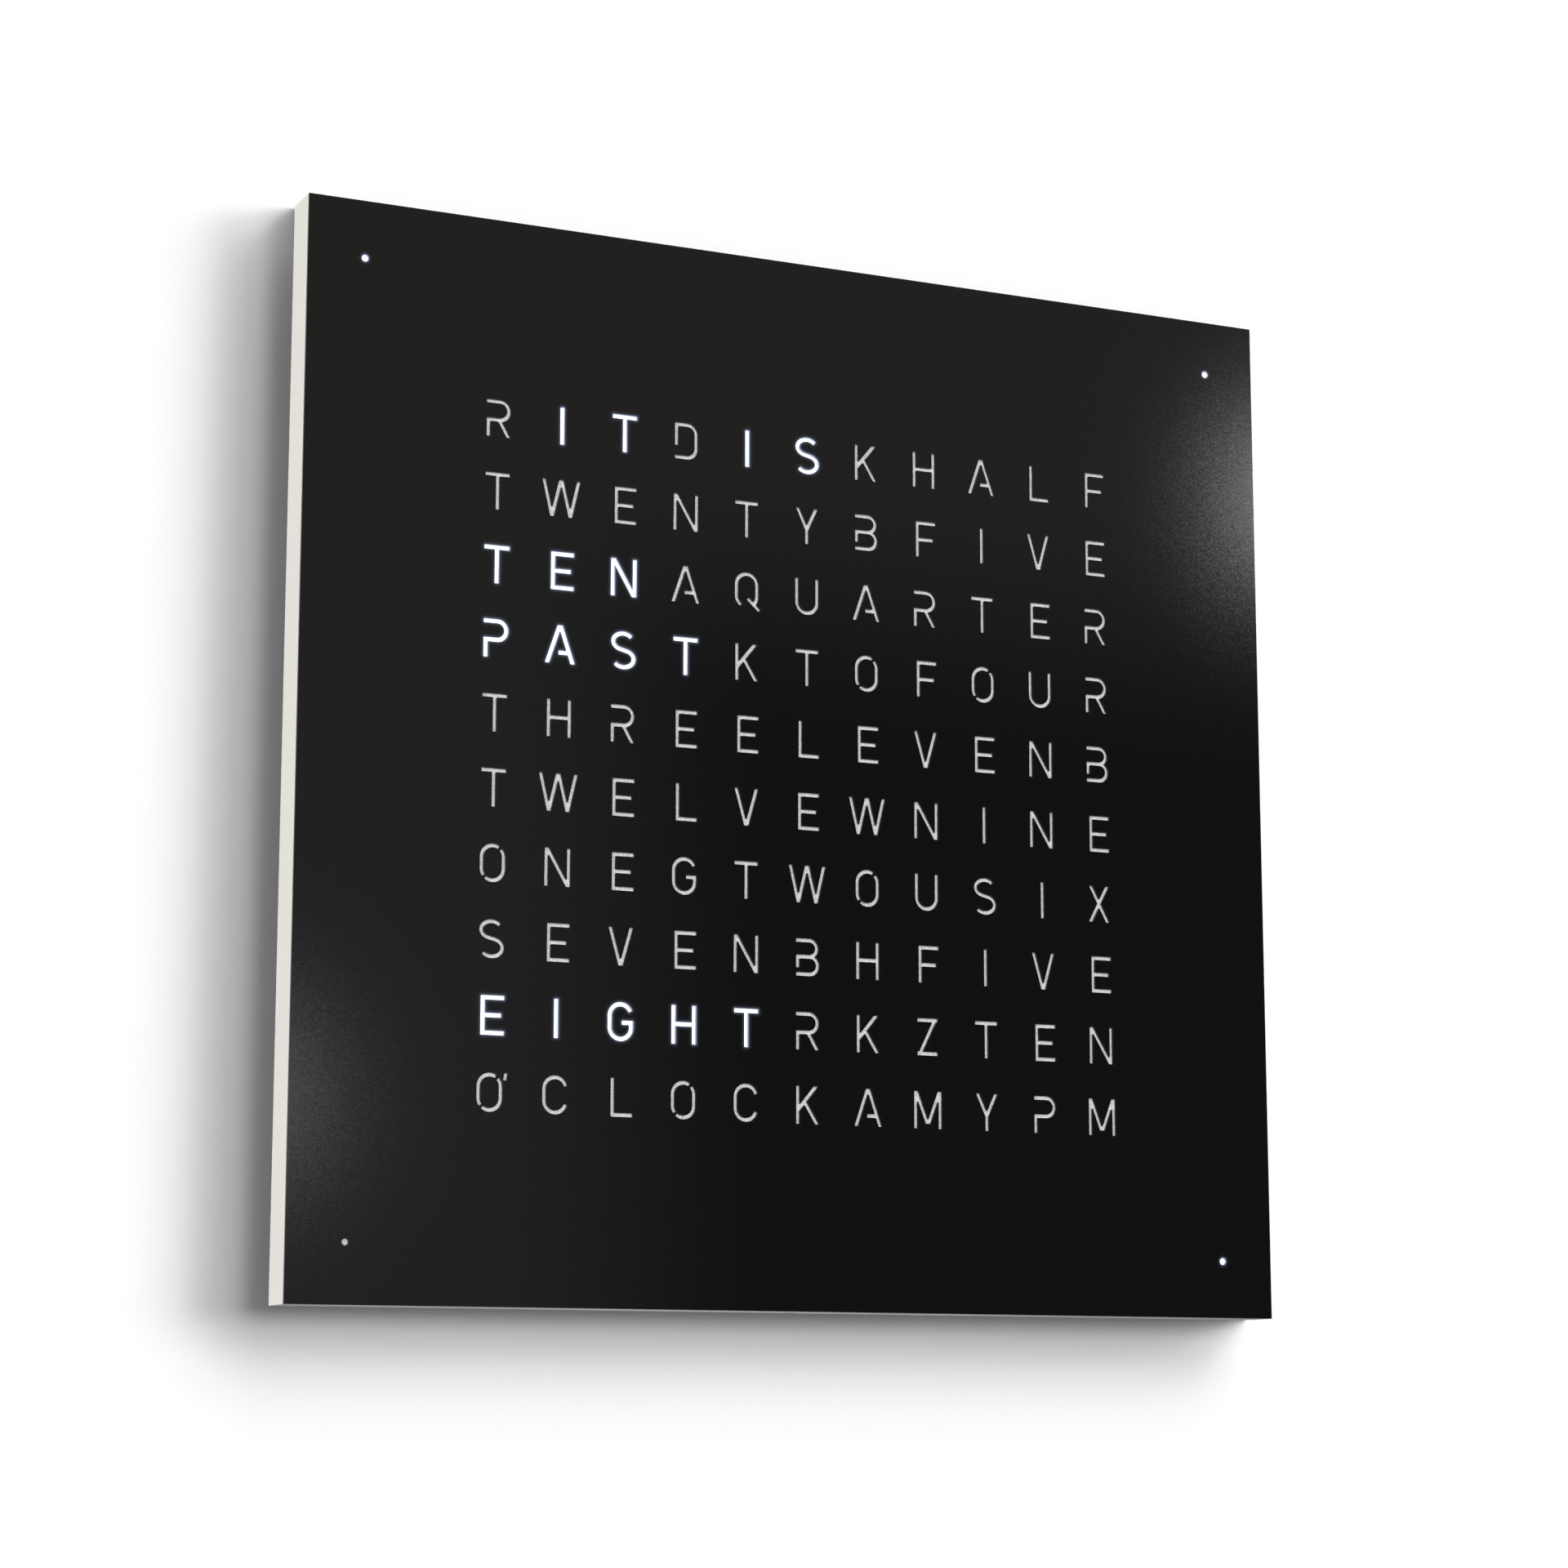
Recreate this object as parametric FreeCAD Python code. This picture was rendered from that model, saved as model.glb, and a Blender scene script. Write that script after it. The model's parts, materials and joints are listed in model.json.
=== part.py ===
import FreeCAD, Part
import os

os.makedirs("parts", exist_ok=True)

# A square wall clock that tells the time in lit words.
# Its back lies on the plane y = 0, its front looks along -Y, +Z is up, and the
# origin is the centre of the back. All lengths are in mm.

# Case
case_size = 450.0  # width and height of the square case
case_depth = 20.0  # wall to the face of the front cover
rim_width = 15.0  # frame's wall, outside to opening
lip_width = 3.0  # how far the frame's front lip reaches into the opening
lip_depth = 2.0
opening_radius = 4.0  # milled inner corners of the frame
rear_edge_radius = 0.6  # softened rear edges of the frame
fit_gap = 0.25  # play round everything that drops into an opening

# Front cover
cover_gauge = 1.0  # steel sheet
cover_gap = 0.1  # paint film between the cover and the case
dot_inset = 24.5  # minute dots, from the case's sides
dot_radius = 1.4
stud_radius = 3.0
stud_length = 6.0
stud_cone = 1.0  # height and depth of the lead-in cone at a stud's end
stud_play = 0.08  # running play of a stud in its socket

# Letter field
columns = 11
rows = 10
side_margin = 69.7  # case's sides to the letters' field
top_margin = 69.9  # case's top and bottom to the letters' field

# Light grid
grid_skin = 2.5  # front skin of the border
grid_wall = 2.0  # outer wall, block wall and ribs
web_front = 1.6  # web between two wells at their wide front end
web_rear = 3.2  # and at their narrow rear end
rib_step = 2  # one border rib every so many wells
socket_wall = 2.0
socket_depth = 8.0
magnet_length = 20.0
magnet_width = 10.0
magnet_height = 4.0
magnet_play = 0.1
magnet_step = 94.0  # magnets lie this far to each side of the middle
cup_wall = 2.0
hook_gauge = 1.2  # snap hooks that hold the boards
hook_width = 4.0
hook_barb = 1.0  # how far the barb reaches over its board
hook_play = 0.05
hook_tip = 0.4
hook_step = 3  # light board's hooks lie this many wells from the middle

# Diffusers
diffuser_gauge = 1.0
diffuser_float = 0.1  # diffuser's face below the grid's front
diffuser_overlap = 1.5  # seat round the field of wells
dot_well_size = 6.0
dot_seat = 0.5  # ledge under a dot's diffuser

# Circuit boards
board_gauge = 1.6
board_space = 3.4  # room behind the light board
led_size = 5.0
led_height = 1.6
driver_count = 7
driver_size = 10.0
driver_height = 1.0
dot_board_size = 14.0
lead_width = 6.0
lead_gauge = 0.5
lead_lap = 5.0  # length of a lead soldered on each board

# Control board
control_width = 140.0
control_gap = 5.3  # strip that stays free above and below the board
control_standoff = 0.5
control_foot = 4.0  # width of the board's rests
control_hook_inset = 8.0  # hooks, from the board's upper and lower edges
control_margin = 1.0  # from the board's edges to the cell's holder and the chip
chip_size = 10.0
chip_height = 1.2
chip_gap = 2.0  # from the plug tray's flange to the chip
cell_radius = 10.0
cell_height = 3.2
cell_wall = 1.2
cell_floor = 0.8
cell_play = 0.15
cell_finger = 10.0  # width of the finger slot in the cell's holder
link_width = 16.0
link_offset = -34.0
link_gauge = 0.5
link_lap = 6.0
link_bend = 1.5

# Power jack and the tray that its plug lies in
jack_width = 9.0
jack_length = 13.0
jack_gap = 4.5  # from the light box down to the jack
jack_play = 0.3  # under the back panel
jack_axis_below = 4.5  # bore's axis below the jack's top
jack_bore_radius = 2.9
jack_bore_depth = 10.0
contact_radius = 1.05
contact_setback = 1.0
tray_width = 44.0
tray_wall = 1.5
tray_floor = 1.2
tray_play = 0.1
tray_radius = 3.0
tray_flange = 3.0
mouth_radius = 3.4  # hole for the plug in the tray's top wall
cable_width = 7.0
cable_depth = 6.5

# Push buttons
button_count = 3
button_pitch = 14.0
button_start = 36.0  # first button, from the middle
button_radius = 4.0
button_play = 0.1
button_setback = 0.6  # cap's face below the back of the clock
button_flange = 10.8  # width of the square flange inside the panel
button_flange_height = 1.0
button_stop_gap = 0.2
stem_width = 3.4
switch_size = 6.0
switch_height = 3.4
plunger_width = 3.0
plunger_play = 0.1
plunger_length = 2.6
plunger_proud = 1.5
plunger_room = 0.7  # free travel under the plunger

# Back panel and its keyhole plates
panel_gauge = 3.0
panel_margin = 5.0  # frame's rear strip that stays in sight
keyhole_inset = 75.0  # keyholes, from the case's sides
keyhole_entry = 4.5  # radius that the wall screw's head goes through
keyhole_slot = 2.3  # radius of the slot for its shank
keyhole_travel = 9.0
keyhole_width = 44.0
keyhole_tall = 34.0
keyhole_gauge = 1.2
keyhole_play = 0.1
keyhole_relief = 2.0  # room for the screw's head round the keyhole
keyhole_tab_width = 12.0
keyhole_fold = 3.5  # length of a tab's folded end

# Screws
screw_radius = 1.5
screw_head = 2.9
screw_length = 12.0
screw_play = 0.05

# Planes of the stack, from front to back
front = -case_depth
cover_back = front + cover_gauge
seat = cover_back + cover_gap
lip_back = seat + lip_depth
skin_back = seat + grid_skin
recess_floor = seat + diffuser_float + diffuser_gauge
control_front = skin_back + control_standoff
control_back = control_front + board_gauge
panel_front = -panel_gauge
light_board_back = panel_front - board_space
grid_back = light_board_back - board_gauge

# Half sizes across the front
half = case_size / 2
opening = half - rim_width
lip_opening = opening - lip_width
rebate = half - panel_margin
grid_half = opening - fit_gap
grid_inner = grid_half - grid_wall
panel_half = rebate - fit_gap
field_x = half - side_margin
field_z = half - top_margin
column_pitch = 2 * field_x / columns
row_pitch = 2 * field_z / rows
block_x = field_x + grid_wall
block_z = field_z + grid_wall
border_x = (block_x + grid_inner) / 2
border_z = (block_z + grid_inner) / 2
dot_place = half - dot_inset
screw_line = (opening + rebate) / 2
control_height = grid_inner - block_z - 2 * control_gap
cell_half = cell_radius + cell_play + cell_wall
cell_x = control_margin + cell_half - control_width / 2
cell_z = control_margin + cell_half - control_height / 2 - border_z
chip_x = -(tray_width / 2 + tray_wall + tray_flange + chip_gap + chip_size / 2)
chip_z = control_margin + chip_size / 2 - control_height / 2 - border_z
keyhole_x = half - keyhole_inset
keyhole_z = border_z - keyhole_travel / 2
jack_top = panel_front - jack_play
jack_axis = jack_top - jack_axis_below
jack_mouth = -block_z - jack_gap - jack_length
tray_front = control_back + tray_play
tray_low = -grid_half + tray_wall
tray_high = jack_mouth - tray_play - tray_wall
tray_height = tray_high - tray_low
tray_middle = (tray_low + tray_high) / 2
switch_top = control_back + switch_height
reach = 1.0  # how far a cutting tool runs past the faces that it cuts
same = 1e-6  # lengths closer than this are equal


def slab(width, height, y_front, y_back, x=0.0, z=0.0, radius=0.0):
    """A plate centred on (x, z), with its four upright corners rounded."""
    corner = FreeCAD.Vector(x - width / 2, y_front, z - height / 2)
    plate = Part.makeBox(width, y_back - y_front, height, corner)
    return plate if radius == 0 else plate.makeFillet(radius, edges_along(plate, 1))


def edges_along(shape, axis):
    """The straight edges that run along one axis: 0 is X, 1 is Y and 2 is Z."""
    found = []
    for edge in shape.Edges:
        run = edge.Vertexes[-1].Point - edge.Vertexes[0].Point
        if run.Length > 0 and abs(abs(run[axis]) - run.Length) < same:
            found.append(edge)
    return found


def disc(radius, y_front, y_back, x=0.0, z=0.0):
    """A round bar along Y."""
    base = FreeCAD.Vector(x, y_front, z)
    return Part.makeCylinder(radius, y_back - y_front, base, FreeCAD.Vector(0, 1, 0))


def turned(points, x, z):
    """A solid turned about the Y axis through (x, z), from (radius, y) points."""
    corners = [FreeCAD.Vector(radius, y, 0) for radius, y in points]
    face = Part.Face(Part.makePolygon(corners + corners[:1]))
    solid = face.revolve(FreeCAD.Vector(0, 0, 0), FreeCAD.Vector(0, 1, 0), 360)
    solid.translate(FreeCAD.Vector(x, 0, z))
    return solid


def export(name, pieces):
    """Write one node, made of one solid or of several alike."""
    Part.makeCompound(pieces).exportStep("parts/" + name + ".step")


def corners_at(place_x, place_z):
    """The four points with these distances from the middle."""
    return [(side * place_x, level * place_z) for side in (-1, 1) for level in (-1, 1)]


def letter_places():
    """Centres of all letters, row by row from the top."""
    places = []
    for row in range(rows):
        for column in range(columns):
            x = (column + 0.5) * column_pitch - field_x
            z = field_z - (row + 0.5) * row_pitch
            places.append((x, z))
    return places


def stud_places():
    """Two corners of the border, on one diagonal."""
    return [(-border_x, border_z), (border_x, -border_z)]


def button_places():
    """The row of buttons beside the tray."""
    return [(button_start + n * button_pitch, -border_z) for n in range(button_count)]


def cable_slot():
    """The way that the cable takes from the tray through the case's lower edge."""
    length = half + reach + tray_low
    z = (tray_low - half - reach) / 2
    return slab(cable_width, length, -cable_depth, reach, 0.0, z)


def make_case_frame():
    """One-piece frame with a front lip and a rear rebate."""
    frame = slab(case_size, case_size, seat, 0.0)
    rear = [edge for edge in frame.Edges if abs(edge.BoundBox.YMin) < same]
    frame = frame.makeFillet(rear_edge_radius, rear)
    cuts = [
        slab(2 * opening, 2 * opening, lip_back, reach, radius=opening_radius),
        slab(2 * lip_opening, 2 * lip_opening, seat - reach, lip_back + reach, radius=opening_radius),
        slab(2 * rebate, 2 * rebate, panel_front, reach, radius=opening_radius),
        cable_slot(),
    ]
    for x, z in corners_at(screw_line, screw_line):
        cuts.append(disc(screw_radius + screw_play, -screw_length - reach, reach, x, z))
    return frame.cut(cuts).removeSplitter()


def make_well():
    """One tapered light well at the origin's (x, z)."""
    wide_x = (column_pitch - web_front) / 2
    wide_z = (row_pitch - web_front) / 2
    narrow_x = (column_pitch - web_rear) / 2
    narrow_z = (row_pitch - web_rear) / 2
    return Part.makeWedge(
        -wide_x, recess_floor, -wide_z, -narrow_z, -narrow_x,
        wide_x, grid_back, wide_z, narrow_z, narrow_x,
    )


def moved(shape, x, z):
    """A copy of a shape, moved across the front."""
    copy = shape.copy()
    copy.translate(FreeCAD.Vector(x, 0, z))
    return copy


def border_ribs():
    """Ribs that cross the border, left out where the control board lies."""
    ribs = []
    reach_x = grid_half - block_x
    reach_z = grid_half - block_z
    middle_x = (grid_half + block_x) / 2
    middle_z = (grid_half + block_z) / 2
    steps = columns // (2 * rib_step)
    for n in range(-steps, steps + 1):
        x = n * rib_step * column_pitch
        ribs.append(slab(grid_wall, reach_z, skin_back, grid_back, x, middle_z))
        if abs(x) > control_width / 2 + grid_wall:
            ribs.append(slab(grid_wall, reach_z, skin_back, grid_back, x, -middle_z))
        z = n * rib_step * row_pitch
        for side in (-1, 1):
            ribs.append(slab(reach_x, grid_wall, skin_back, grid_back, side * middle_x, z))
    return ribs


def hook_outline(root, board_back):
    """Outline of a snap hook as (distance out from the board's edge, y) points."""
    barb = board_back + hook_play
    top = barb + hook_barb + hook_tip
    return [
        (hook_gauge, root),
        (hook_gauge, top),
        (0.0, top),
        (-hook_barb, barb + hook_tip),
        (-hook_barb, barb),
        (0.0, barb),
        (0.0, root),
    ]


def hook(x, z, out_x, out_z, root, board_back):
    """A snap hook on a board's edge at (x, z); (out_x, out_z) points away from the board."""
    half_width = hook_width / 2
    points = []
    for distance, y in hook_outline(root, board_back):
        across_x = x + distance * out_x - half_width * out_z
        across_z = z + distance * out_z - half_width * out_x
        points.append(FreeCAD.Vector(across_x, y, across_z))
    face = Part.Face(Part.makePolygon(points + points[:1]))
    return face.extrude(FreeCAD.Vector(hook_width * out_z, 0, hook_width * out_x))


def light_board_hooks():
    """Two hooks on each side of the light board."""
    hooks = []
    for side in (-1, 1):
        for step in (-hook_step, hook_step):
            x = step * column_pitch
            z = step * row_pitch
            hooks.append(hook(x, side * block_z, 0, side, lip_back, light_board_back))
            hooks.append(hook(side * block_x, z, side, 0, lip_back, light_board_back))
    return hooks


def minute_board_hooks():
    """A hook above and below each minute board."""
    hooks = []
    reach_z = dot_board_size / 2 + fit_gap
    for x, z in corners_at(dot_place, dot_place):
        for side in (-1, 1):
            hooks.append(hook(x, z + side * reach_z, 0, side, lip_back, light_board_back))
    return hooks


def control_board_hooks():
    """Two hooks on each upright edge of the control board."""
    hooks = []
    for side, level in corners_at(1, 1):
        x = side * (control_width / 2 + fit_gap)
        z = level * (control_height / 2 - control_hook_inset) - border_z
        hooks.append(hook(x, z, side, 0, lip_back, control_back))
    return hooks


def control_board_rests():
    """Low rests under the control board's corners."""
    places = corners_at((control_width - control_foot) / 2, (control_height - control_foot) / 2)
    return [slab(control_foot, control_foot, lip_back, control_front, x, z - border_z) for x, z in places]


def magnet_blocks(play, back):
    """Blocks at the magnets' places, grown by the play, from the grid's front to one depth."""
    blocks = []
    long_side = magnet_length + 2 * play
    short_side = magnet_width + 2 * play
    for x, z in corners_at(magnet_step, border_z):
        blocks.append(slab(long_side, short_side, seat, back, x, z))
    for x, z in corners_at(border_x, magnet_step):
        blocks.append(slab(short_side, long_side, seat, back, x, z))
    return blocks


def make_grid_body():
    """Border tray and the block that the wells are cut from, with all bosses."""
    radius = opening_radius - fit_gap
    front_half = lip_opening - fit_gap
    body = slab(2 * front_half, 2 * front_half, seat, skin_back, radius=radius)
    step = slab(2 * grid_half, 2 * grid_half, lip_back, grid_back, radius=radius)
    hollow = slab(2 * grid_inner, 2 * grid_inner, skin_back, grid_back + reach, radius=radius - grid_wall)
    added = [step.cut(hollow), slab(2 * block_x, 2 * block_z, lip_back, grid_back)]
    added += border_ribs()
    added += magnet_blocks(magnet_play + cup_wall, seat + magnet_height + cup_wall)
    added += light_board_hooks() + minute_board_hooks()
    added += control_board_hooks() + control_board_rests()
    socket_radius = stud_radius + stud_play + socket_wall
    socket_back = seat + socket_depth + socket_wall
    for x, z in stud_places():
        added.append(disc(socket_radius, skin_back, socket_back, x, z))
    pillar = dot_board_size + 2 * fit_gap
    for x, z in corners_at(dot_place, dot_place):
        added.append(slab(pillar, pillar, skin_back, grid_back, x, z))
    return body.fuse(added)


def grid_cuts():
    """Everything that is open in the light grid."""
    cuts = [moved(make_well(), x, z) for x, z in letter_places()]
    seat_x = 2 * (field_x + diffuser_overlap + fit_gap)
    seat_z = 2 * (field_z + diffuser_overlap + fit_gap)
    cuts.append(slab(seat_x, seat_z, seat - reach, recess_floor))
    cuts += magnet_blocks(magnet_play, seat + magnet_height)
    for x, z in stud_places():
        cuts.append(disc(stud_radius + stud_play, seat - reach, seat + socket_depth, x, z))
    dot_seat_size = dot_well_size + 2 * (dot_seat + magnet_play)
    for x, z in corners_at(dot_place, dot_place):
        cuts.append(slab(dot_well_size, dot_well_size, seat - reach, grid_back + reach, x, z))
        cuts.append(slab(dot_seat_size, dot_seat_size, seat - reach, recess_floor, x, z))
    gate = tray_width + 2 * (tray_wall + fit_gap)
    gate_z = -(grid_half + grid_inner) / 2
    cuts.append(slab(gate, grid_wall + 2 * fit_gap, tray_front - tray_play, grid_back + reach, 0.0, gate_z))
    return cuts


def make_light_grid():
    """Moulded panel with one tapered well behind each letter."""
    return make_grid_body().cut(grid_cuts()).removeSplitter()


def make_front_cover():
    """Flat steel cover with the four minute dots."""
    cover = slab(case_size, case_size, front, cover_back)
    places = corners_at(dot_place, dot_place)
    return cover.cut([disc(dot_radius, front - reach, cover_back + reach, x, z) for x, z in places])


def make_stud(x, z):
    """Locating stud on the cover's back, with a lead-in cone at its end."""
    tip = cover_back + stud_length
    points = [
        (0.0, cover_back),
        (stud_radius, cover_back),
        (stud_radius, tip - stud_cone),
        (stud_radius - stud_cone, tip),
        (0.0, tip),
    ]
    return turned(points, x, z)


def make_diffuser():
    """Opal sheet behind all letters."""
    width = 2 * (field_x + diffuser_overlap)
    height = 2 * (field_z + diffuser_overlap)
    return slab(width, height, seat + diffuser_float, recess_floor)


def make_minute_diffusers():
    """Small opal squares behind the minute dots."""
    size = dot_well_size + 2 * dot_seat
    places = corners_at(dot_place, dot_place)
    return [slab(size, size, seat + diffuser_float, recess_floor, x, z) for x, z in places]


def make_led(x, z):
    """Square LED on the front of a board."""
    return slab(led_size, led_size, grid_back - led_height, grid_back, x, z)


def make_light_board():
    """Board that carries the letters' LEDs and closes the wells' rear ends."""
    width = 2 * (block_x - fit_gap)
    height = 2 * (block_z - fit_gap)
    return slab(width, height, grid_back, light_board_back)


def make_drivers():
    """LED driver chips in one row on the board's back."""
    step = 2 * field_x / driver_count
    z = -row_pitch / 2
    chips = []
    for n in range(driver_count):
        x = (n + 0.5) * step - field_x
        chips.append(slab(driver_size, driver_size, light_board_back, light_board_back + driver_height, x, z))
    return chips


def make_minute_boards():
    """Small boards behind the four minute dots."""
    size = dot_board_size
    return [slab(size, size, grid_back, light_board_back, x, z) for x, z in corners_at(dot_place, dot_place)]


def make_dot_lead(side, level):
    """Flat lead from a corner of the light board to a minute board."""
    inner = FreeCAD.Vector(side * (block_x - fit_gap), light_board_back, level * (block_z - fit_gap))
    near = dot_place - dot_board_size / 2
    outer = FreeCAD.Vector(side * near, light_board_back, level * near)
    along = (outer - inner).normalize()
    across = FreeCAD.Vector(-along.z, 0, along.x) * (lead_width / 2)
    start = inner - along * lead_lap
    end = outer + along * lead_lap
    outline = [start + across, end + across, end - across, start - across]
    face = Part.Face(Part.makePolygon(outline + outline[:1]))
    return face.extrude(FreeCAD.Vector(0, lead_gauge, 0))


def make_control_board():
    """Board in the lower border, behind the grid's skin."""
    return slab(control_width, control_height, control_front, control_back, 0.0, -border_z)


def make_control_chip():
    """The clock's controller."""
    return slab(chip_size, chip_size, control_back, control_back + chip_height, chip_x, chip_z)


def make_cell_holder():
    """Square holder of the clock's backup cell, open to the rear, with a finger slot."""
    floor = control_back + cell_floor
    top = floor + cell_height
    holder = slab(2 * cell_half, 2 * cell_half, control_back, top, cell_x, cell_z)
    inside = disc(cell_radius + cell_play, floor, top + reach, cell_x, cell_z)
    length = cell_half + reach
    finger = slab(cell_finger, length, floor, top + reach, cell_x, cell_z - length / 2)
    return holder.cut([inside, finger])


def make_cell():
    """Coin cell in its holder."""
    floor = control_back + cell_floor
    return disc(cell_radius, floor, floor + cell_height, cell_x, cell_z)


def make_board_link():
    """Flat flexible link from the light board down to the control board."""
    high = light_board_back
    low = control_back
    edge_high = -block_z - link_bend
    edge_low = -border_z + control_height / 2
    foot = edge_low - link_lap - (high - low)
    middle = [
        (edge_high + link_lap + link_bend, high),
        (edge_high, high),
        (foot + link_lap, low),
        (foot, low),
    ]
    left = link_offset - link_width / 2
    near = [FreeCAD.Vector(left, y, z) for z, y in middle]
    lift = FreeCAD.Vector(0, link_gauge, 0)
    far = [point + lift for point in reversed(near)]
    face = Part.Face(Part.makePolygon(near + far + near[:1]))
    link = face.extrude(FreeCAD.Vector(link_width, 0, 0))
    inner = (near[1], near[2], near[1] + lift, near[2] + lift)
    bends = [edge for edge in edges_along(link, 0) if is_at(edge, inner)]
    return link.makeFillet(link_bend, bends)


def is_at(edge, points):
    """Does this edge along X pass through one of the points?"""
    middle = edge.CenterOfMass
    return any(abs(middle.y - point.y) + abs(middle.z - point.z) < same for point in points)


def make_jack():
    """Power jack on the control board, with its mouth facing down into the tray."""
    z = jack_mouth + jack_length / 2
    body = slab(jack_width, jack_length, control_back, jack_top, 0.0, z)
    mouth = FreeCAD.Vector(0, jack_axis, jack_mouth - reach)
    bore = Part.makeCylinder(jack_bore_radius, jack_bore_depth + reach, mouth)
    return body.cut(bore)


def make_jack_contact():
    """Centre contact of the jack."""
    start = FreeCAD.Vector(0, jack_axis, jack_mouth + contact_setback)
    return Part.makeCylinder(contact_radius, jack_bore_depth - contact_setback, start)


def make_plug_tray():
    """Moulded recess for the plug, open to the rear."""
    outer_width = tray_width + 2 * tray_wall
    outer_height = tray_height + 2 * tray_wall
    tray = slab(outer_width, outer_height, tray_front, 0.0, 0.0, tray_middle)
    flange_width = outer_width + 2 * tray_flange
    flange = slab(flange_width, tray_height, panel_front - tray_wall, panel_front, 0.0, tray_middle)
    inside = slab(tray_width, tray_height, tray_front + tray_floor, reach, 0.0, tray_middle, tray_radius)
    start = FreeCAD.Vector(0, jack_axis, tray_high - reach)
    mouth = Part.makeCylinder(mouth_radius, tray_wall + 2 * reach, start)
    return tray.fuse(flange).cut([inside, mouth, cable_slot()]).removeSplitter()


def make_switch(x, z):
    """Body of a tact switch, with the well that its plunger slides in."""
    body = slab(switch_size, switch_size, control_back, switch_top, x, z)
    floor = switch_top + plunger_proud - plunger_length - plunger_room
    well = plunger_width + 2 * plunger_play
    return body.cut(slab(well, well, floor, switch_top + reach, x, z))


def make_plunger(x, z):
    """Plunger of a tact switch at rest."""
    top = switch_top + plunger_proud
    return slab(plunger_width, plunger_width, top - plunger_length, top, x, z)


def make_button(x, z):
    """Button: round cap in the panel's hole, square flange behind it and stem to the switch."""
    flange_top = panel_front - button_stop_gap
    flange_low = flange_top - button_flange_height
    cap = disc(button_radius, flange_top, -button_setback, x, z)
    flange = slab(button_flange, button_flange, flange_low, flange_top, x, z)
    stem = slab(stem_width, stem_width, switch_top + plunger_proud, flange_low, x, z)
    return cap.fuse([flange, stem]).removeSplitter()


def make_keyhole_plate(x):
    """Steel plate with an entry hole and a slot above it, held by two folded tabs."""
    pieces = []
    tip = panel_front - keyhole_gauge
    for side in (-1, 1):
        tab_x = x + side * (keyhole_width - keyhole_gauge) / 2
        fold_x = tab_x + side * (keyhole_fold - keyhole_gauge) / 2
        pieces.append(slab(keyhole_gauge, keyhole_tab_width, tip, 0.0, tab_x, border_z))
        pieces.append(slab(keyhole_fold, keyhole_tab_width, tip, panel_front, fold_x, border_z))
    plate = slab(keyhole_width, keyhole_tall, -keyhole_gauge, 0.0, x, border_z).fuse(pieces)
    cuts = [
        disc(keyhole_entry, -keyhole_gauge - reach, reach, x, keyhole_z),
        disc(keyhole_slot, -keyhole_gauge - reach, reach, x, keyhole_z + keyhole_travel),
        slab(2 * keyhole_slot, keyhole_travel, -keyhole_gauge - reach, reach, x, border_z),
    ]
    return plate.cut(cuts).removeSplitter()


def screw_outline(play):
    """Countersunk screw from its flush head down, grown by the play."""
    radius = screw_radius + play
    head = screw_head + play
    return [
        (0.0, -screw_length),
        (radius, -screw_length),
        (radius, -(head - radius)),
        (head, 0.0),
        (0.0, 0.0),
    ]


def make_back_panel():
    """Rear sheet with the keyhole pockets, the tray's cut-out and the buttons' holes."""
    panel = slab(2 * panel_half, 2 * panel_half, panel_front, 0.0, radius=opening_radius - fit_gap)
    cuts = [turned(screw_outline(screw_play), x, z) for x, z in corners_at(screw_line, screw_line)]
    cut_width = tray_width + 2 * (tray_wall + fit_gap)
    cut_height = tray_height + 2 * (tray_wall + fit_gap)
    cuts.append(slab(cut_width, cut_height, panel_front - reach, reach, 0.0, tray_middle))
    cuts.append(cable_slot())
    for x, z in button_places():
        cuts.append(disc(button_radius + button_play, panel_front - reach, reach, x, z))
    for x in (-keyhole_x, keyhole_x):
        pocket_width = keyhole_width + 2 * keyhole_play
        pocket_tall = keyhole_tall + 2 * keyhole_play
        cuts.append(slab(pocket_width, pocket_tall, -keyhole_gauge, reach, x, border_z))
        relief_width = 2 * (keyhole_entry + keyhole_relief)
        relief_tall = keyhole_travel + relief_width
        cuts.append(slab(relief_width, relief_tall, panel_front - reach, 0.0, x, border_z))
        slot_width = keyhole_gauge + 2 * keyhole_play
        slot_tall = keyhole_tab_width + 2 * keyhole_play
        for side in (-1, 1):
            tab_x = x + side * (keyhole_width - keyhole_gauge) / 2
            cuts.append(slab(slot_width, slot_tall, panel_front - reach, reach, tab_x, border_z))
    return panel.cut(cuts).removeSplitter()


# Front cover, which lifts off
export("front_cover", [make_front_cover()])
export("cover_studs", [make_stud(x, z) for x, z in stud_places()])

# Case and light box
export("case_frame", [make_case_frame()])
export("light_grid", [make_light_grid()])
export("cover_magnets", magnet_blocks(0.0, seat + magnet_height))
export("letter_diffuser", [make_diffuser()])
export("minute_diffusers", make_minute_diffusers())

# Light board and minute boards
export("light_board", [make_light_board()])
export("letter_leds", [make_led(x, z) for x, z in letter_places()])
export("led_drivers", make_drivers())
export("minute_boards", make_minute_boards())
export("minute_leds", [make_led(x, z) for x, z in corners_at(dot_place, dot_place)])
export("minute_leads", [make_dot_lead(side, level) for side, level in corners_at(1, 1)])

# Control board
export("control_board", [make_control_board()])
export("control_chip", [make_control_chip()])
export("backup_cell_holder", [make_cell_holder()])
export("backup_cell", [make_cell()])
export("board_link", [make_board_link()])
export("power_jack", [make_jack()])
export("jack_contact", [make_jack_contact()])
export("button_switches", [make_switch(x, z) for x, z in button_places()])

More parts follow.
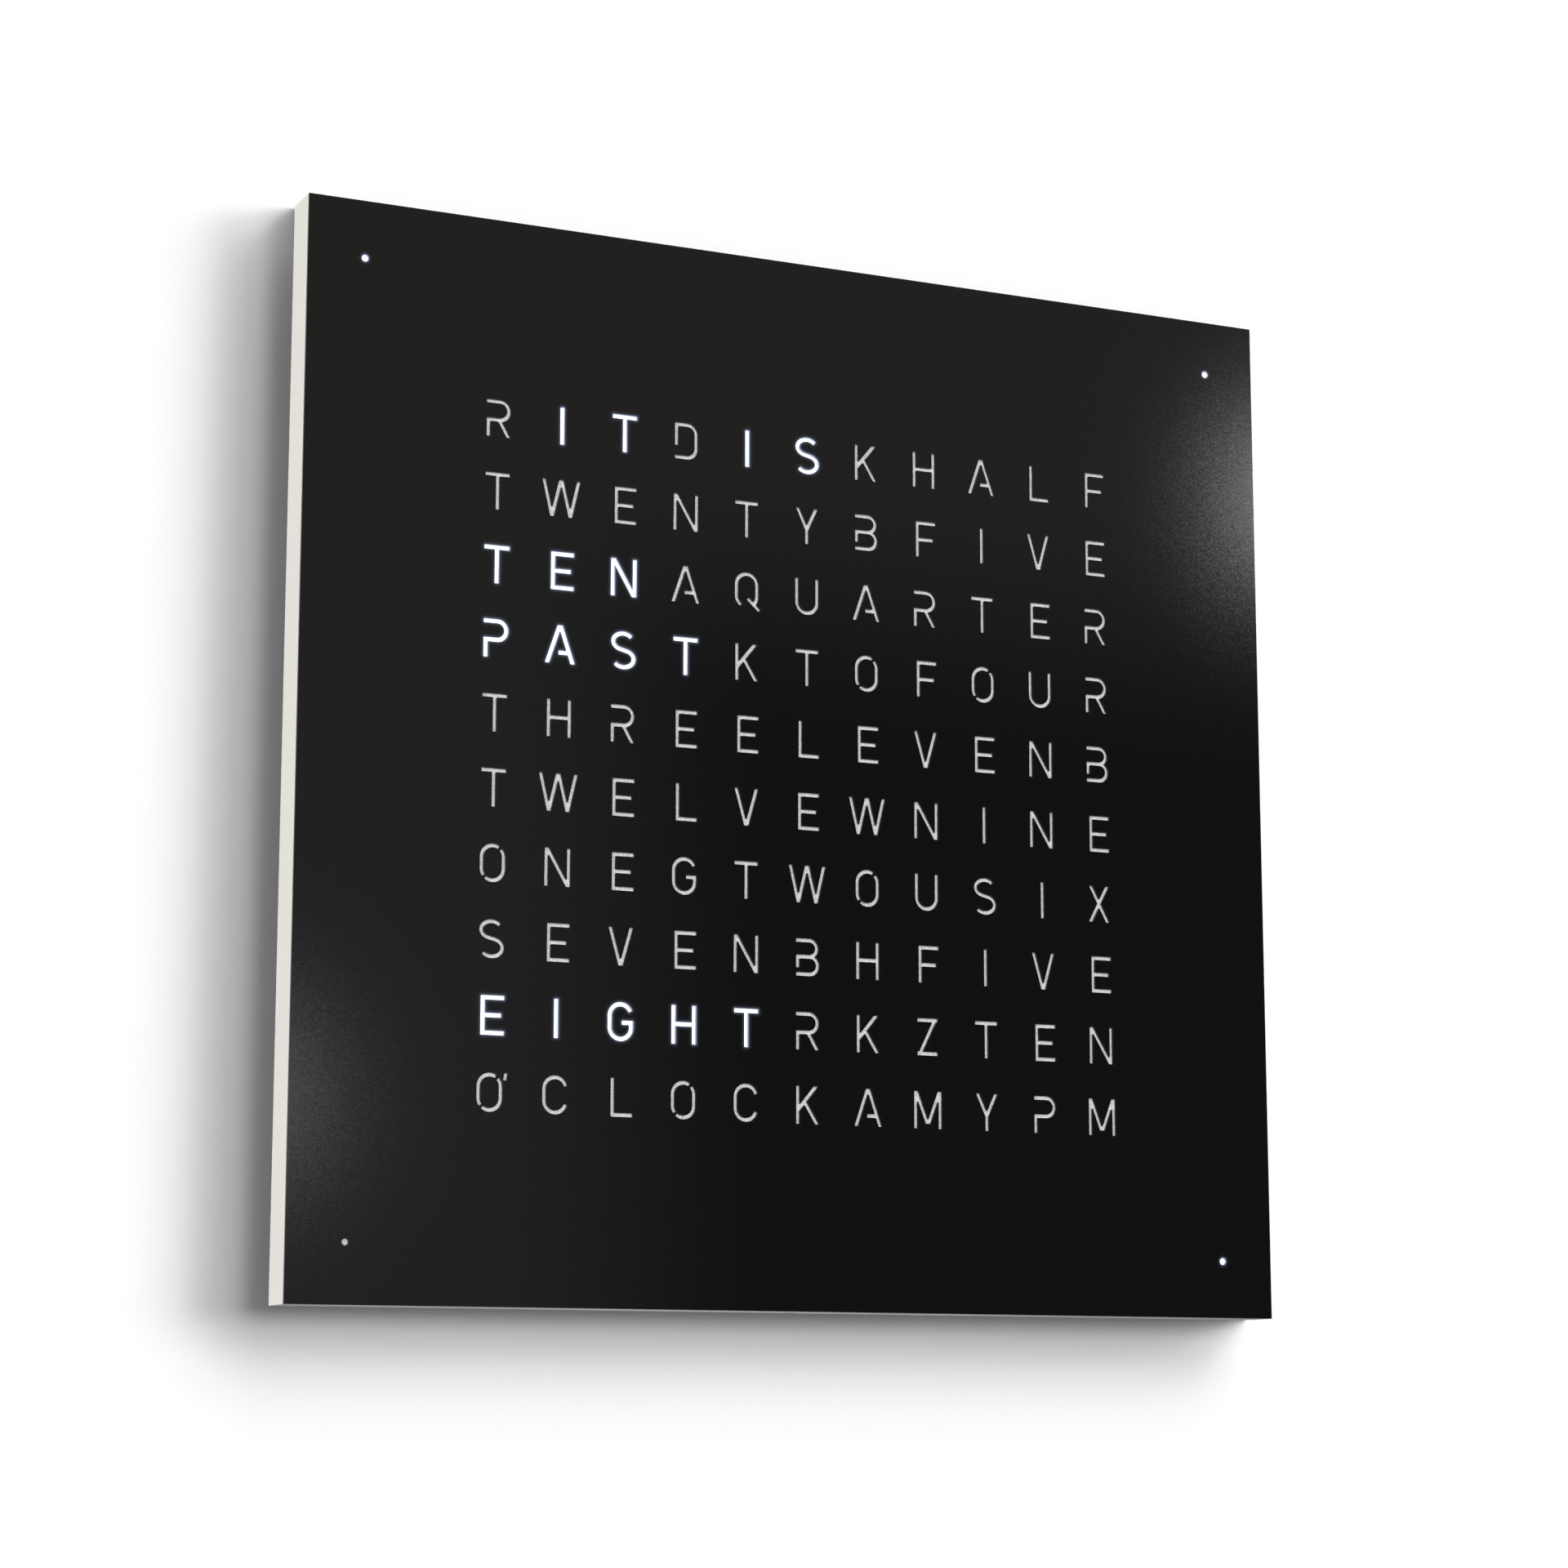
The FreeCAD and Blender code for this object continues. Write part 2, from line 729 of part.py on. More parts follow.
# Back panel and what it carries
export("back_panel", [make_back_panel()])
export("back_panel_screws", [turned(screw_outline(0.0), x, z) for x, z in corners_at(screw_line, screw_line)])
export("plug_tray", [make_plug_tray()])
export("keyhole_plate_left", [make_keyhole_plate(-keyhole_x)])
export("keyhole_plate_right", [make_keyhole_plate(keyhole_x)])

# Push buttons, each with the plunger that it presses
for name, (x, z) in zip(("mode", "minus", "plus"), button_places()):
    export(name + "_button", [make_button(x, z)])
    export(name + "_plunger", [make_plunger(x, z)])
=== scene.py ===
import json
import math

import bmesh
import bpy
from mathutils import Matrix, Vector
from mathutils.geometry import delaunay_2d_cdt


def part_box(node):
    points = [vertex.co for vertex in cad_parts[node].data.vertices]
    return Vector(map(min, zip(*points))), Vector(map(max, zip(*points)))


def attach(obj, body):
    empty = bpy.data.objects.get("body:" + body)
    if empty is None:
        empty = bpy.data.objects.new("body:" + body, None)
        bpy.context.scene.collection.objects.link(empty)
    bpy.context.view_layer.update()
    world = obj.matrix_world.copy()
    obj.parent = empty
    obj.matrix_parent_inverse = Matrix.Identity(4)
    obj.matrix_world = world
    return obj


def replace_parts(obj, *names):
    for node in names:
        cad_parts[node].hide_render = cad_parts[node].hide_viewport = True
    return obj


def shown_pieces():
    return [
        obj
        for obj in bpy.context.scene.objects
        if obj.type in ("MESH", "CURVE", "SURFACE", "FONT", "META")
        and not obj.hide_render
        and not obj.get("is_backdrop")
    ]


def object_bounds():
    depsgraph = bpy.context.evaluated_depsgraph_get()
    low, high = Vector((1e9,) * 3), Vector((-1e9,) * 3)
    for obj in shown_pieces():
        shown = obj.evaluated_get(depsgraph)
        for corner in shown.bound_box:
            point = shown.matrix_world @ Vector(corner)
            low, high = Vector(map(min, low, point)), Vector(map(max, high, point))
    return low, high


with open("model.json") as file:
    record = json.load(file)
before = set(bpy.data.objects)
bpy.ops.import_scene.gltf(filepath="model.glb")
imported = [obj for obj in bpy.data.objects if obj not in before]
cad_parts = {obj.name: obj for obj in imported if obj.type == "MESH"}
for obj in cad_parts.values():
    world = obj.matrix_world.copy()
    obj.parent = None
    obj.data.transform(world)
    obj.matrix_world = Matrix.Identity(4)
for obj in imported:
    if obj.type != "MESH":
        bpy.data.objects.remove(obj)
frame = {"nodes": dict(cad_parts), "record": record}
cad_low, cad_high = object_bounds()

# A square wall clock that tells the time in lit words. Places in the scene are in metres. Flat
# outlines are in millimetres, x to the right and y up, and letters lie about their cell's middle.
MM = 0.001

# Letters, as cut through the cover
PEN = 1.68  # width of an upright stroke
BEAM = 1.57  # width of a level stroke
RAIL = 7.14  # height of the middle of the top stroke
TOP = RAIL + BEAM / 2
CAP = 2 * TOP  # height of a letter
STEM = 4.45  # middle of the upright strokes of B, D, K, P and R
STEM_SIDE = -STEM - PEN / 2  # their left edge
WAIST = -0.65  # height of the middle stroke of P and R
ROUND = 4.75  # radius of O, C, G, Q and U, along the middle of the stroke
TURN = RAIL - ROUND  # height of the centre of their upper bow
CORNER = 0.22  # radius that cutting and paint leave on an aperture's corners
SOFT_EDGE = 0.12  # rounded paint edge round the apertures and the cover
ARC_STEP = 11.0  # degrees from one point of a bow to the next, about
SHORTEST = 0.12  # edge of a letter's outline
BEND = 25.0  # degrees; an outline that turns more than this is rounded there
IN_LINE = 0.5  # degrees; where it turns less, it needs no point
CORNER_ROOM = 0.4  # share of an edge that a rounded corner may take
SAME_POINT = 1e-5  # points of a flat shape nearer than this are one
WELD = 1e-7  # vertices nearer than this are one, in metres

WORDS = (
    "RITDISKHALF",
    "TWENTYBFIVE",
    "TENAQUARTER",
    "PASTKTOFOUR",
    "THREELEVENB",
    "TWELVEWNINE",
    "ONEGTWOUSIX",
    "SEVENBHFIVE",
    "EIGHTRKZTEN",
    "OCLOCKAMYPM",
)
LIT_WORDS = ((0, "IT"), (0, "IS"), (2, "TEN"), (3, "PAST"), (8, "EIGHT"))  # each with its row
APOSTROPHE = (9, 0)  # row and column of the O that has it
DARK_DOT = (-1, -1)  # side and level of the minute dot that isn't lit
DOT_RADIUS = 1.4
DOT_SIDES = 32

# Glow that a lit letter leaves on the paint round it
GLOW_RINGS = (0.3, 0.6, 1.0, 1.5, 2.2)  # distances from the letter
GLOW_REACH = 0.34  # distance over which it falls to about a third
GLOW_END = math.exp(-GLOW_RINGS[-1] / GLOW_REACH)
GLOW_PITCH = 1.4  # spacing of the points along a ring
GLOW_CLEAR = 0.2  # least distance of such a point from any aperture of its letter
GLOW_MARGIN = 0.1  # room beyond the last ring
GLOW_ON_WALL = 3.0  # the aperture's walls against the paint at its edge
GLOW_LIGHT = 0.3  # emission strength for a glow of 1
GLOW_MOST = 4.0  # the glow that the paint's map reaches to
GLOW_COLOUR = (0.60, 0.70, 1.0, 1)


# ---------------------------------------------------------------- letters

def arc(centre_y, radius_x, radius_y, start, end, centre_x=0.0):
    """Points along part of an ellipse, from one angle to another, in degrees."""
    steps = max(2, round(abs(end - start) / ARC_STEP))
    angles = [math.radians(start + (end - start) * n / steps) for n in range(steps + 1)]
    return [Vector((centre_x + radius_x * math.cos(a), centre_y + radius_y * math.sin(a))) for a in angles]


def sideways(vector):
    """The vector turned a quarter to the right."""
    return Vector((vector.y, -vector.x))


def ribbon(points):
    """Outline of a stroke along a centre line, with square ends."""
    right, left = [], []
    for n, here in enumerate(points):
        before = points[max(n - 1, 0)]
        after = points[min(n + 1, len(points) - 1)]
        one = sideways(here - before if n else after - here).normalized()
        two = sideways(after - here if n < len(points) - 1 else here - before).normalized()
        step = (one + two) * (PEN / 2) / (1 + one.dot(two))
        step.y *= BEAM / PEN
        right.append(here + step)
        left.append(here - step)
    return right + left[::-1]


def bar(x0, y0, x1, y1):
    """A straight stroke."""
    return ribbon([Vector((x0, y0)), Vector((x1, y1))])


def upright(x, low=-TOP, high=TOP):
    """An upright stroke, as high as the letter unless told otherwise."""
    return bar(x, low, x, high)


def level(y, left, right):
    """A level stroke."""
    return bar(left, y, right, y)


def slant(x_low, x_high, y_low=-TOP, y_high=TOP, pen=PEN):
    """A sloping stroke whose ends are cut level."""
    rise = y_high - y_low
    half = pen / 2 * math.hypot(x_high - x_low, rise) / rise
    return [
        Vector((x_low - half, y_low)), Vector((x_low + half, y_low)),
        Vector((x_high + half, y_high)), Vector((x_high - half, y_high)),
    ]


def meeting(stroke, x):
    """A slant whose lower end is cut upright, at this x, so that it hides inside a stem."""
    left, right, top_right, top_left = stroke
    ends = []
    for low, high in ((left, top_left), (right, top_right)):
        ends.append(low + (high - low) * (x - low.x) / (high.x - low.x))
    return ends + [top_right, top_left]


def both(x_low, x_high, **ends):
    """A slant and its mirror image."""
    return [slant(-x_low, -x_high, **ends), slant(x_low, x_high, **ends)]


def upper(start, end):
    """Part of a round letter's upper bow."""
    return arc(TURN, ROUND, ROUND, start, end)


def lower(start, end):
    """Part of a round letter's lower bow."""
    return arc(-TURN, ROUND, ROUND, start, end)


def bowl(low, right=STEM + 0.1):
    """A top stroke that turns down in a half round and runs back to the stem."""
    radius = (RAIL - low) / 2
    turn = arc(low + radius, radius, radius, 90, -90, right - radius)
    return [Vector((STEM_SIDE, RAIL))] + turn + [Vector((-STEM, low))]


def letter_e():
    left, right, shorter = -3.45, 5.7, 1.3
    bars = [level(height, left, right) for height in (-RAIL, RAIL)]
    return bars + [upright(left), level(0.0, left, right - shorter)]


def letter_s():
    """Two bows, joined by a straight spine that touches both."""
    slope = math.radians(9.8)
    top_x, top_y, low_x, low_y = 4.4, 3.4, 4.6, 3.55
    turn_top = math.degrees(math.atan2(top_y, top_x * math.tan(slope)))
    turn_low = math.degrees(math.atan2(low_y, low_x * math.tan(slope)))
    path = arc(RAIL - top_y, top_x, top_y, 36, 180 + turn_top, -0.1)
    path += arc(low_y - RAIL, low_x, low_y, turn_low, -143, 0.1)
    return [ribbon(path)]


def letter_a():
    foot, peak, bar_level, bar_start = 5.65, 0.2, -3.5, -0.6
    leg = peak + (foot - peak) * (TOP - bar_level) / CAP
    return both(foot, peak) + [level(bar_level, bar_start, leg)]


def letter_g():
    bar_level, bar_end = -0.4, 0.7
    path = upper(24, 180) + lower(180, 360)
    return [ribbon(path + [Vector((ROUND, bar_level)), Vector((bar_end, bar_level))])]


def letter_d():
    radius, gap = 4.15, -2.1
    right = STEM + 0.1 - radius
    path = [Vector((-STEM, gap)), Vector((-STEM, RAIL))]
    path += arc(RAIL - radius, radius, radius, 90, 0, right)
    path += arc(radius - RAIL, radius, radius, 0, -90, right)
    return [ribbon(path + [Vector((STEM_SIDE, -RAIL))])]


def letter_p():
    return ribbon(bowl(WAIST) + [Vector((-STEM, -TOP))])


def letter_b():
    waist, gap = 0.25, -4.4
    radius = (waist + RAIL) / 2
    top = bowl(waist, STEM - 0.1) + [Vector((-STEM, gap))]
    bottom = [Vector((STEM_SIDE, -RAIL))]
    bottom += arc(radius - RAIL, radius, radius, -90, 90, STEM + 0.3 - radius)
    return [ribbon(top), ribbon(bottom)]


def letter_k():
    arm = meeting(slant(-STEM, 3.9, y_low=-2.2), -STEM)
    leg = slant(4.4, -1.38, y_high=1.5)
    return [upright(-STEM), arm, leg]


GLYPHS = {
    "A": letter_a(),
    "B": letter_b(),
    "C": [ribbon(upper(16, 180) + lower(180, 344))],
    "D": letter_d(),
    "E": letter_e(),
    "F": [upright(-3.25), level(RAIL, -3.25, 5.7), level(-0.2, -3.25, 4.5)],
    "G": letter_g(),
    "H": [upright(-4.6), upright(4.6), level(0.2, -4.6, 4.6)],
    "I": [upright(0)],
    "K": letter_k(),
    "L": [upright(-3.2), level(-RAIL, -3.2, 5.7)],
    "M": both(0.3, 5.5, y_low=-5.8) + [upright(-5.8), upright(5.8)],
    "N": [upright(-4.95), upright(4.95), slant(4.7, -4.7)],
    "O": [ribbon(upper(56, 180) + lower(180, 216)), ribbon(lower(229, 360) + upper(0, 42))],
    "P": [letter_p()],
    "Q": [ribbon(lower(236, 180) + upper(180, 0) + lower(0, -50)), bar(0.5, -3.4, 5.9, -8.3)],
    "R": [letter_p(), slant(4.5, 0.3, y_high=WAIST)],
    "S": letter_s(),
    "T": [upright(0), level(RAIL, -5.45, 5.45)],
    "U": [ribbon([Vector((-ROUND, TOP))] + lower(180, 360) + [Vector((ROUND, TOP))])],
    "V": both(0.2, 4.7),
    "W": both(4.1, 7.8) + both(4.1, 0.2),
    "X": [slant(-4.3, 4.1), slant(4.3, -4.1)],
    "Y": [meeting(arm, 0) for arm in both(0, 4.4, y_low=-1.6)] + [upright(0, high=-0.6)],
    "Z": [level(RAIL, -4.9, 4.9), level(-RAIL, -4.9, 4.9), slant(-3.9, 3.9)],
    "'": [slant(6.5, 7.0, y_low=4.9, pen=1.6)],
}


# ---------------------------------------------------------------- flat shapes

def anticlockwise(loop):
    """The loop, turned round if it runs clockwise."""
    area = sum(a.cross(b) for a, b in zip(loop, loop[1:] + loop[:1]))
    return loop if area > 0 else loop[::-1]


def triangulate(loops, points=()):
    """(corners, triangles, loops that hold each triangle) of flat loops and loose points."""
    corners, faces = [], []
    for loop in loops:
        faces.append(list(range(len(corners), len(corners) + len(loop))))
        corners = corners + anticlockwise(loop)
    found = delaunay_2d_cdt(corners + list(points), [], faces, 0, SAME_POINT)
    return found[0], found[2], found[5]


def outlines(strokes):
    """Loops round the area that the strokes cover together."""
    corners, triangles, owners = triangulate(strokes)
    edges = set()
    for triangle, owner in zip(triangles, owners):
        if owner:
            edges.update(zip(triangle, triangle[1:] + triangle[:1]))
    follow = {a: b for a, b in edges if (b, a) not in edges}
    loops = []
    while follow:
        here = min(follow)
        loop = []
        while here in follow:
            loop.append(corners[here])
            here = follow.pop(here)
        loops.append(loop)
    return loops


def tidied(loop):
    """The loop without its shortest edges, which strokes leave where they meet."""
    points = [loop[0]]
    for point in loop[1:]:
        if (point - points[-1]).length > SHORTEST:
            points.append(point)
    if (points[-1] - points[0]).length < SHORTEST:
        points.pop()
    return points


def rounded(loop):
    """The loop with its corners rounded, and without points in line."""
    loop = tidied(loop)
    points = []
    for before, here, after in zip(loop[-1:] + loop[:-1], loop, loop[1:] + loop[:1]):
        back, ahead = before - here, after - here
        turn = math.pi - back.angle(ahead)
        if turn > math.radians(BEND):
            cut = min(CORNER * math.tan(turn / 2), CORNER_ROOM * back.length, CORNER_ROOM * ahead.length)
            one, two = here + back.normalized() * cut, here + ahead.normalized() * cut
            points += [one, one * 0.25 + here * 0.5 + two * 0.25, two]
        elif turn > math.radians(IN_LINE):
            points.append(here)
    return points


def offset(loop, distance):
    """The loop, moved outwards."""
    moved = []
    for before, here, after in zip(loop[-1:] + loop[:-1], loop, loop[1:] + loop[:1]):
        one, two = sideways(here - before).normalized(), sideways(after - here).normalized()
        moved.append(here + (one + two) * distance / (1 + one.dot(two)))
    return moved


def square(half):
    """A square about the middle, anticlockwise."""
    return [Vector((-half, -half)), Vector((half, -half)), Vector((half, half)), Vector((-half, half))]


def circle(radius, middle, sides=40):
    """A circle about a point, anticlockwise."""
    angles = [2 * math.pi * n / sides for n in range(sides)]
    return [middle + Vector((math.cos(a), math.sin(a))) * radius for a in angles]


def distance_to(loop, point):
    """How far the point lies from the loop's edge, and whether it lies inside."""
    nearest, inside = 1e9, False
    for a, b in zip(loop, loop[1:] + loop[:1]):
        along = b - a
        share = max(0.0, min(1.0, (point - a).dot(along) / along.length_squared))
        nearest = min(nearest, (a + along * share - point).length)
        if (a.y > point.y) != (b.y > point.y) and point.x < a.x + along.x * (point.y - a.y) / along.y:
            inside = not inside
    return nearest, inside


# ---------------------------------------------------------------- where the letters are

DIFFUSER_OVERLAP = 1.5  # the sheet's margin round the field of letters
DOT_LED = 0.0025  # half width of a minute dot's LED, in metres
sheet_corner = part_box("letter_diffuser")[1]
FIELD_X = sheet_corner.x / MM - DIFFUSER_OVERLAP
FIELD_Y = sheet_corner.z / MM - DIFFUSER_OVERLAP
COLUMNS, ROWS = len(WORDS[0]), len(WORDS)
PITCH_X = 2 * FIELD_X / COLUMNS
PITCH_Y = 2 * FIELD_Y / ROWS
DOT_PLACE = (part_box("minute_leds")[1].x - DOT_LED) / MM


def is_lit(row, column):
    """Whether the cell belongs to a lit word."""
    for line, word in LIT_WORDS:
        first = WORDS[line].index(word)
        if row == line and first <= column < first + len(word):
            return True
    return False


def cell_middle(row, column):
    return Vector(((column + 0.5) * PITCH_X - FIELD_X, FIELD_Y - (row + 0.5) * PITCH_Y))


def shifted(loops, place):
    return [[point + place for point in loop] for loop in loops]


def apertures():
    """(lit, loops) of every letter and dot in the cover."""
    shapes = {}
    for letter, strokes in GLYPHS.items():
        shapes[letter] = [rounded(loop) for loop in outlines(strokes)]
    found = []
    for row, letters in enumerate(WORDS):
        for column, letter in enumerate(letters):
            loops = list(shapes[letter])
            if (row, column) == APOSTROPHE:
                loops += shapes["'"]
            found.append((is_lit(row, column), shifted(loops, cell_middle(row, column))))
    for corner in ((-1, -1), (-1, 1), (1, -1), (1, 1)):
        dot = circle(DOT_RADIUS, Vector(corner) * DOT_PLACE, DOT_SIDES)
        found.append((corner != DARK_DOT, [dot]))
    return found


# ---------------------------------------------------------------- front cover

def glow_at(point, lit_loops):
    """Strength of the glow on the paint at a point, from 0 to 1."""
    strength = 0.0
    for loop, low, high in lit_loops:
        if low.x < point.x < high.x and low.y < point.y < high.y:
            gap = distance_to(loop, point)[0]
            strength = max(strength, math.exp(-gap / GLOW_REACH) - GLOW_END)
    return strength


def glow_points(loops):
    """Points in rings round the loops of one letter, for the glow to fade over."""
    points = []
    for loop in loops:
        for a, b in zip(loop, loop[1:] + loop[:1]):
            steps = max(1, round((b - a).length / GLOW_PITCH))
            outward = sideways(b - a).normalized()
            for n in range(steps):
                base = a.lerp(b, (n + 0.5) / steps)
                points += [base + outward * ring for ring in GLOW_RINGS]
    kept = []
    for point in points:
        gaps = [distance_to(loop, point) for loop in loops]
        if min(gap for gap, inside in gaps) > GLOW_CLEAR and not any(inside for gap, inside in gaps):
            kept.append(point)
    return kept


def with_reach(loop):
    """A loop with the box that its glow stays in."""
    margin = GLOW_RINGS[-1] + GLOW_MARGIN
    low = Vector((min(p.x for p in loop) - margin, min(p.y for p in loop) - margin))
    high = Vector((max(p.x for p in loop) + margin, max(p.y for p in loop) + margin))
    return loop, low, high


def add_face(shell, outline, holes, y, forward, points=()):
    """A flat face with holes, looking forward or to the rear. Its corners, as (vertex, point)."""
    corners, triangles, owners = triangulate([outline] + holes, points)
    verts = [shell.verts.new((p.x * MM, y, p.y * MM)) for p in corners]
    for triangle, owner in zip(triangles, owners):
        if owner == [0]:
            face = [verts[n] for n in triangle]
            shell.faces.new(face if forward else face[::-1])
    return list(zip(verts, corners))


def add_bands(shell, rings, inward, material=0):
    """Walls between rings of equal length, given as (loop, y) from the front. The rings' vertices."""
    rows = [[shell.verts.new((p.x * MM, y, p.y * MM)) for p in loop] for loop, y in rings]
    for front, back in zip(rows, rows[1:]):
        for n in range(len(front)):
            corners = [front[n - 1], front[n], back[n], back[n - 1]]
            face = shell.faces.new(corners if inward else corners[::-1])
            face.material_index = material
    return rows


def new_object(name, shell, materials, sharp=35.0):
    """An object from a bmesh, smooth but for its sharp edges."""
    mesh = bpy.data.meshes.new(name)
    shell.to_mesh(mesh)
    shell.free()
    for polygon in mesh.polygons:
        polygon.use_smooth = True
    mesh.set_sharp_from_angle(angle=math.radians(sharp))
    for material in materials:
        mesh.materials.append(material)
    piece = bpy.data.objects.new(name, mesh)
    bpy.context.scene.collection.objects.link(piece)
    return piece


def add_aperture(shell, glow, lit, loops, depths):
    """The wall of an aperture, from its soft edge on the front to the back."""
    wide, loop = loops
    front, soft, back = depths
    rows = add_bands(shell, [(wide, front), (loop, soft)], True)
    rows += add_bands(shell, [(loop, soft), (loop, back)], True, 1)
    rim = math.exp(-SOFT_EDGE / GLOW_REACH)
    for row, strength in zip(rows, (rim, GLOW_ON_WALL, GLOW_ON_WALL, GLOW_ON_WALL)):
        for vert in row:
            vert[glow] = lit * strength


def make_cover(paint, cut_paint):
    """Sheet steel with every letter and dot cut through, and soft paint edges."""
    low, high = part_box("front_cover")
    half = high.x / MM
    front, back = low.y, high.y
    soft = front + SOFT_EDGE * MM
    cut = apertures()
    holes = [(lit, loop) for lit, loops in cut for loop in loops]
    lit_loops = [with_reach(loop) for lit, loop in holes if lit]
    points = [point for lit, loops in cut if lit for point in glow_points(loops)]
    shell = bmesh.new()
    glow = shell.verts.layers.float.new("glow")
    wide = [offset(loop, SOFT_EDGE) for lit, loop in holes]
    for vert, point in add_face(shell, square(half - SOFT_EDGE), wide, front, True, points):
        vert[glow] = glow_at(point, lit_loops)
    add_face(shell, square(half), [loop for lit, loop in holes], back, False)
    for (lit, loop), loop_wide in zip(holes, wide):
        add_aperture(shell, glow, lit, (loop_wide, loop), (front, soft, back))
    add_bands(shell, [(square(half - SOFT_EDGE), front), (square(half), soft), (square(half), back)], False)
    bmesh.ops.remove_doubles(shell, verts=shell.verts, dist=WELD)
    cover = new_object("cover_plate", shell, [paint, cut_paint])
    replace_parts(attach(cover, "cover"), "front_cover")


# ---------------------------------------------------------------- opal sheet

def make_opal_sheet(plain, lit):
    """The sheet behind the letters, with one face for each letter's well."""
    low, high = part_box("letter_diffuser")
    xs = [low.x] + [(n * PITCH_X - FIELD_X) * MM for n in range(COLUMNS + 1)] + [high.x]
    zs = [low.z] + [(n * PITCH_Y - FIELD_Y) * MM for n in range(ROWS + 1)] + [high.z]
    shell = bmesh.new()
    grid = [[shell.verts.new((x, low.y, z)) for x in xs] for z in zs]
    for j in range(len(zs) - 1):
        for i in range(len(xs) - 1):
            face = shell.faces.new([grid[j][i], grid[j][i + 1], grid[j + 1][i + 1], grid[j + 1][i]])
            face.material_index = int(is_lit(ROWS - j, i - 1))
    top = bmesh.ops.extrude_face_region(shell, geom=shell.faces[:], use_keep_orig=True)
    moved = [item for item in top["geom"] if isinstance(item, bmesh.types.BMVert)]
    bmesh.ops.translate(shell, verts=moved, vec=(0, high.y - low.y, 0))
    bmesh.ops.recalc_face_normals(shell, faces=shell.faces)
    sheet = new_object("opal_sheet", shell, [plain, lit])
    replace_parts(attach(sheet, "case"), "letter_diffuser")


# ---------------------------------------------------------------- screws and buttons

HEAD = 2.9  # radius of a screw's countersunk head
SHANK = 1.5
HEAD_EDGE = 0.15  # worn edge of the head
THREAD = 0.3  # depth of the thread
THREAD_TURNS = 18
POINT = 0.25  # radius of the screw's tip
POINT_LENGTH = 1.2
POINT_STEP = 0.1  # from the point's widest ring out to the shank
RECESS = 1.3  # depth of the cross recess
RECESS_MOUTH = (1.75, 0.5)  # reach and half width of the recess's arms
RECESS_FLOOR = (1.05, 0.3)

CORNER_STEPS = 4  # steps of a round corner or edge
BUTTON_CAP = 4.0  # radius of a button's cap
BUTTON_EDGE = 0.6  # radius of the cap's round edge
BUTTON_RIM = 0.2  # flat rim inside that edge
BUTTON_DISH = 0.35  # depth of the hollow in the cap
DISH_RINGS = 6
BUTTON_RISE = 2.6  # from the flange to the top of the cap
BUTTON_STEM = 1.7  # half width of the stem
STEM_CORNER = 0.2
FLANGE = 1.0  # thickness of the flange
FLANGE_EDGE = 0.15  # bevel round the flange


def cross(reach, half, middle):
    """A plus-shaped outline about a point, anticlockwise."""
    quarter = [Vector((half, -reach)), Vector((half, -half)), Vector((reach, -half))]
    loop = []
    for turn in range(4):
        c, s = round(math.cos(turn * math.pi / 2)), round(math.sin(turn * math.pi / 2))
        loop += [middle + Vector((c * p.x - s * p.y, s * p.x + c * p.y)) for p in quarter]
    return loop


def screw_rings(middle, rear, tip):
    """Rings of a screw from its tip: the threaded shank, then the countersunk head."""
    under = rear - (HEAD - SHANK) * MM
    end = tip + POINT_LENGTH * MM
    pitch = (under - end) / THREAD_TURNS
    rings = [(circle(POINT, middle), tip), (circle(SHANK - POINT_STEP, middle), end)]
    for n in range(THREAD_TURNS):
        rings.append((circle(SHANK, middle), end + (n + 0.5) * pitch))
        rings.append((circle(SHANK - THREAD, middle), end + (n + 1) * pitch))
    rings.append((circle(SHANK, middle), under))
    rings.append((circle(HEAD, middle), rear - HEAD_EDGE * MM))
    rings.append((circle(HEAD - HEAD_EDGE, middle), rear))
    return rings


def add_screw(shell, x, z, rear, tip):
    """A countersunk screw with a cross recess, its head looking to the rear."""
    middle = Vector((x, z))
    mouth, bed = cross(*RECESS_MOUTH, middle), cross(*RECESS_FLOOR, middle)
    recess = rear - RECESS * MM
    add_face(shell, circle(HEAD - HEAD_EDGE, middle), [mouth], rear, False)
    add_bands(shell, [(bed, recess), (mouth, rear)], True)
    add_face(shell, bed, [], recess, False)
    add_bands(shell, screw_rings(middle, rear, tip), False)
    add_face(shell, circle(POINT, middle), [], tip, True)


def make_screws():
    low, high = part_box("back_panel_screws")
    place = high.x / MM - HEAD
    shell = bmesh.new()
    for x in (-place, place):
        for z in (-place, place):
            add_screw(shell, x, z, high.y, low.y)
    bmesh.ops.remove_doubles(shell, verts=shell.verts, dist=WELD)
    screws = new_object("rear_screws", shell, [MATERIALS["zinc_steel"]])
    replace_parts(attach(screws, "case"), "back_panel_screws")


def soft_square(half, middle, radius=0.5):
    """A square outline with round corners."""
    loop = []
    for turn, (i, k) in enumerate(((1, -1), (1, 1), (-1, 1), (-1, -1))):
        centre = middle + Vector((i, k)) * (half - radius)
        angles = [math.radians(90 * (turn - 1 + n / CORNER_STEPS)) for n in range(CORNER_STEPS + 1)]
        loop += [centre + Vector((math.cos(a), math.sin(a))) * radius for a in angles]
    return loop


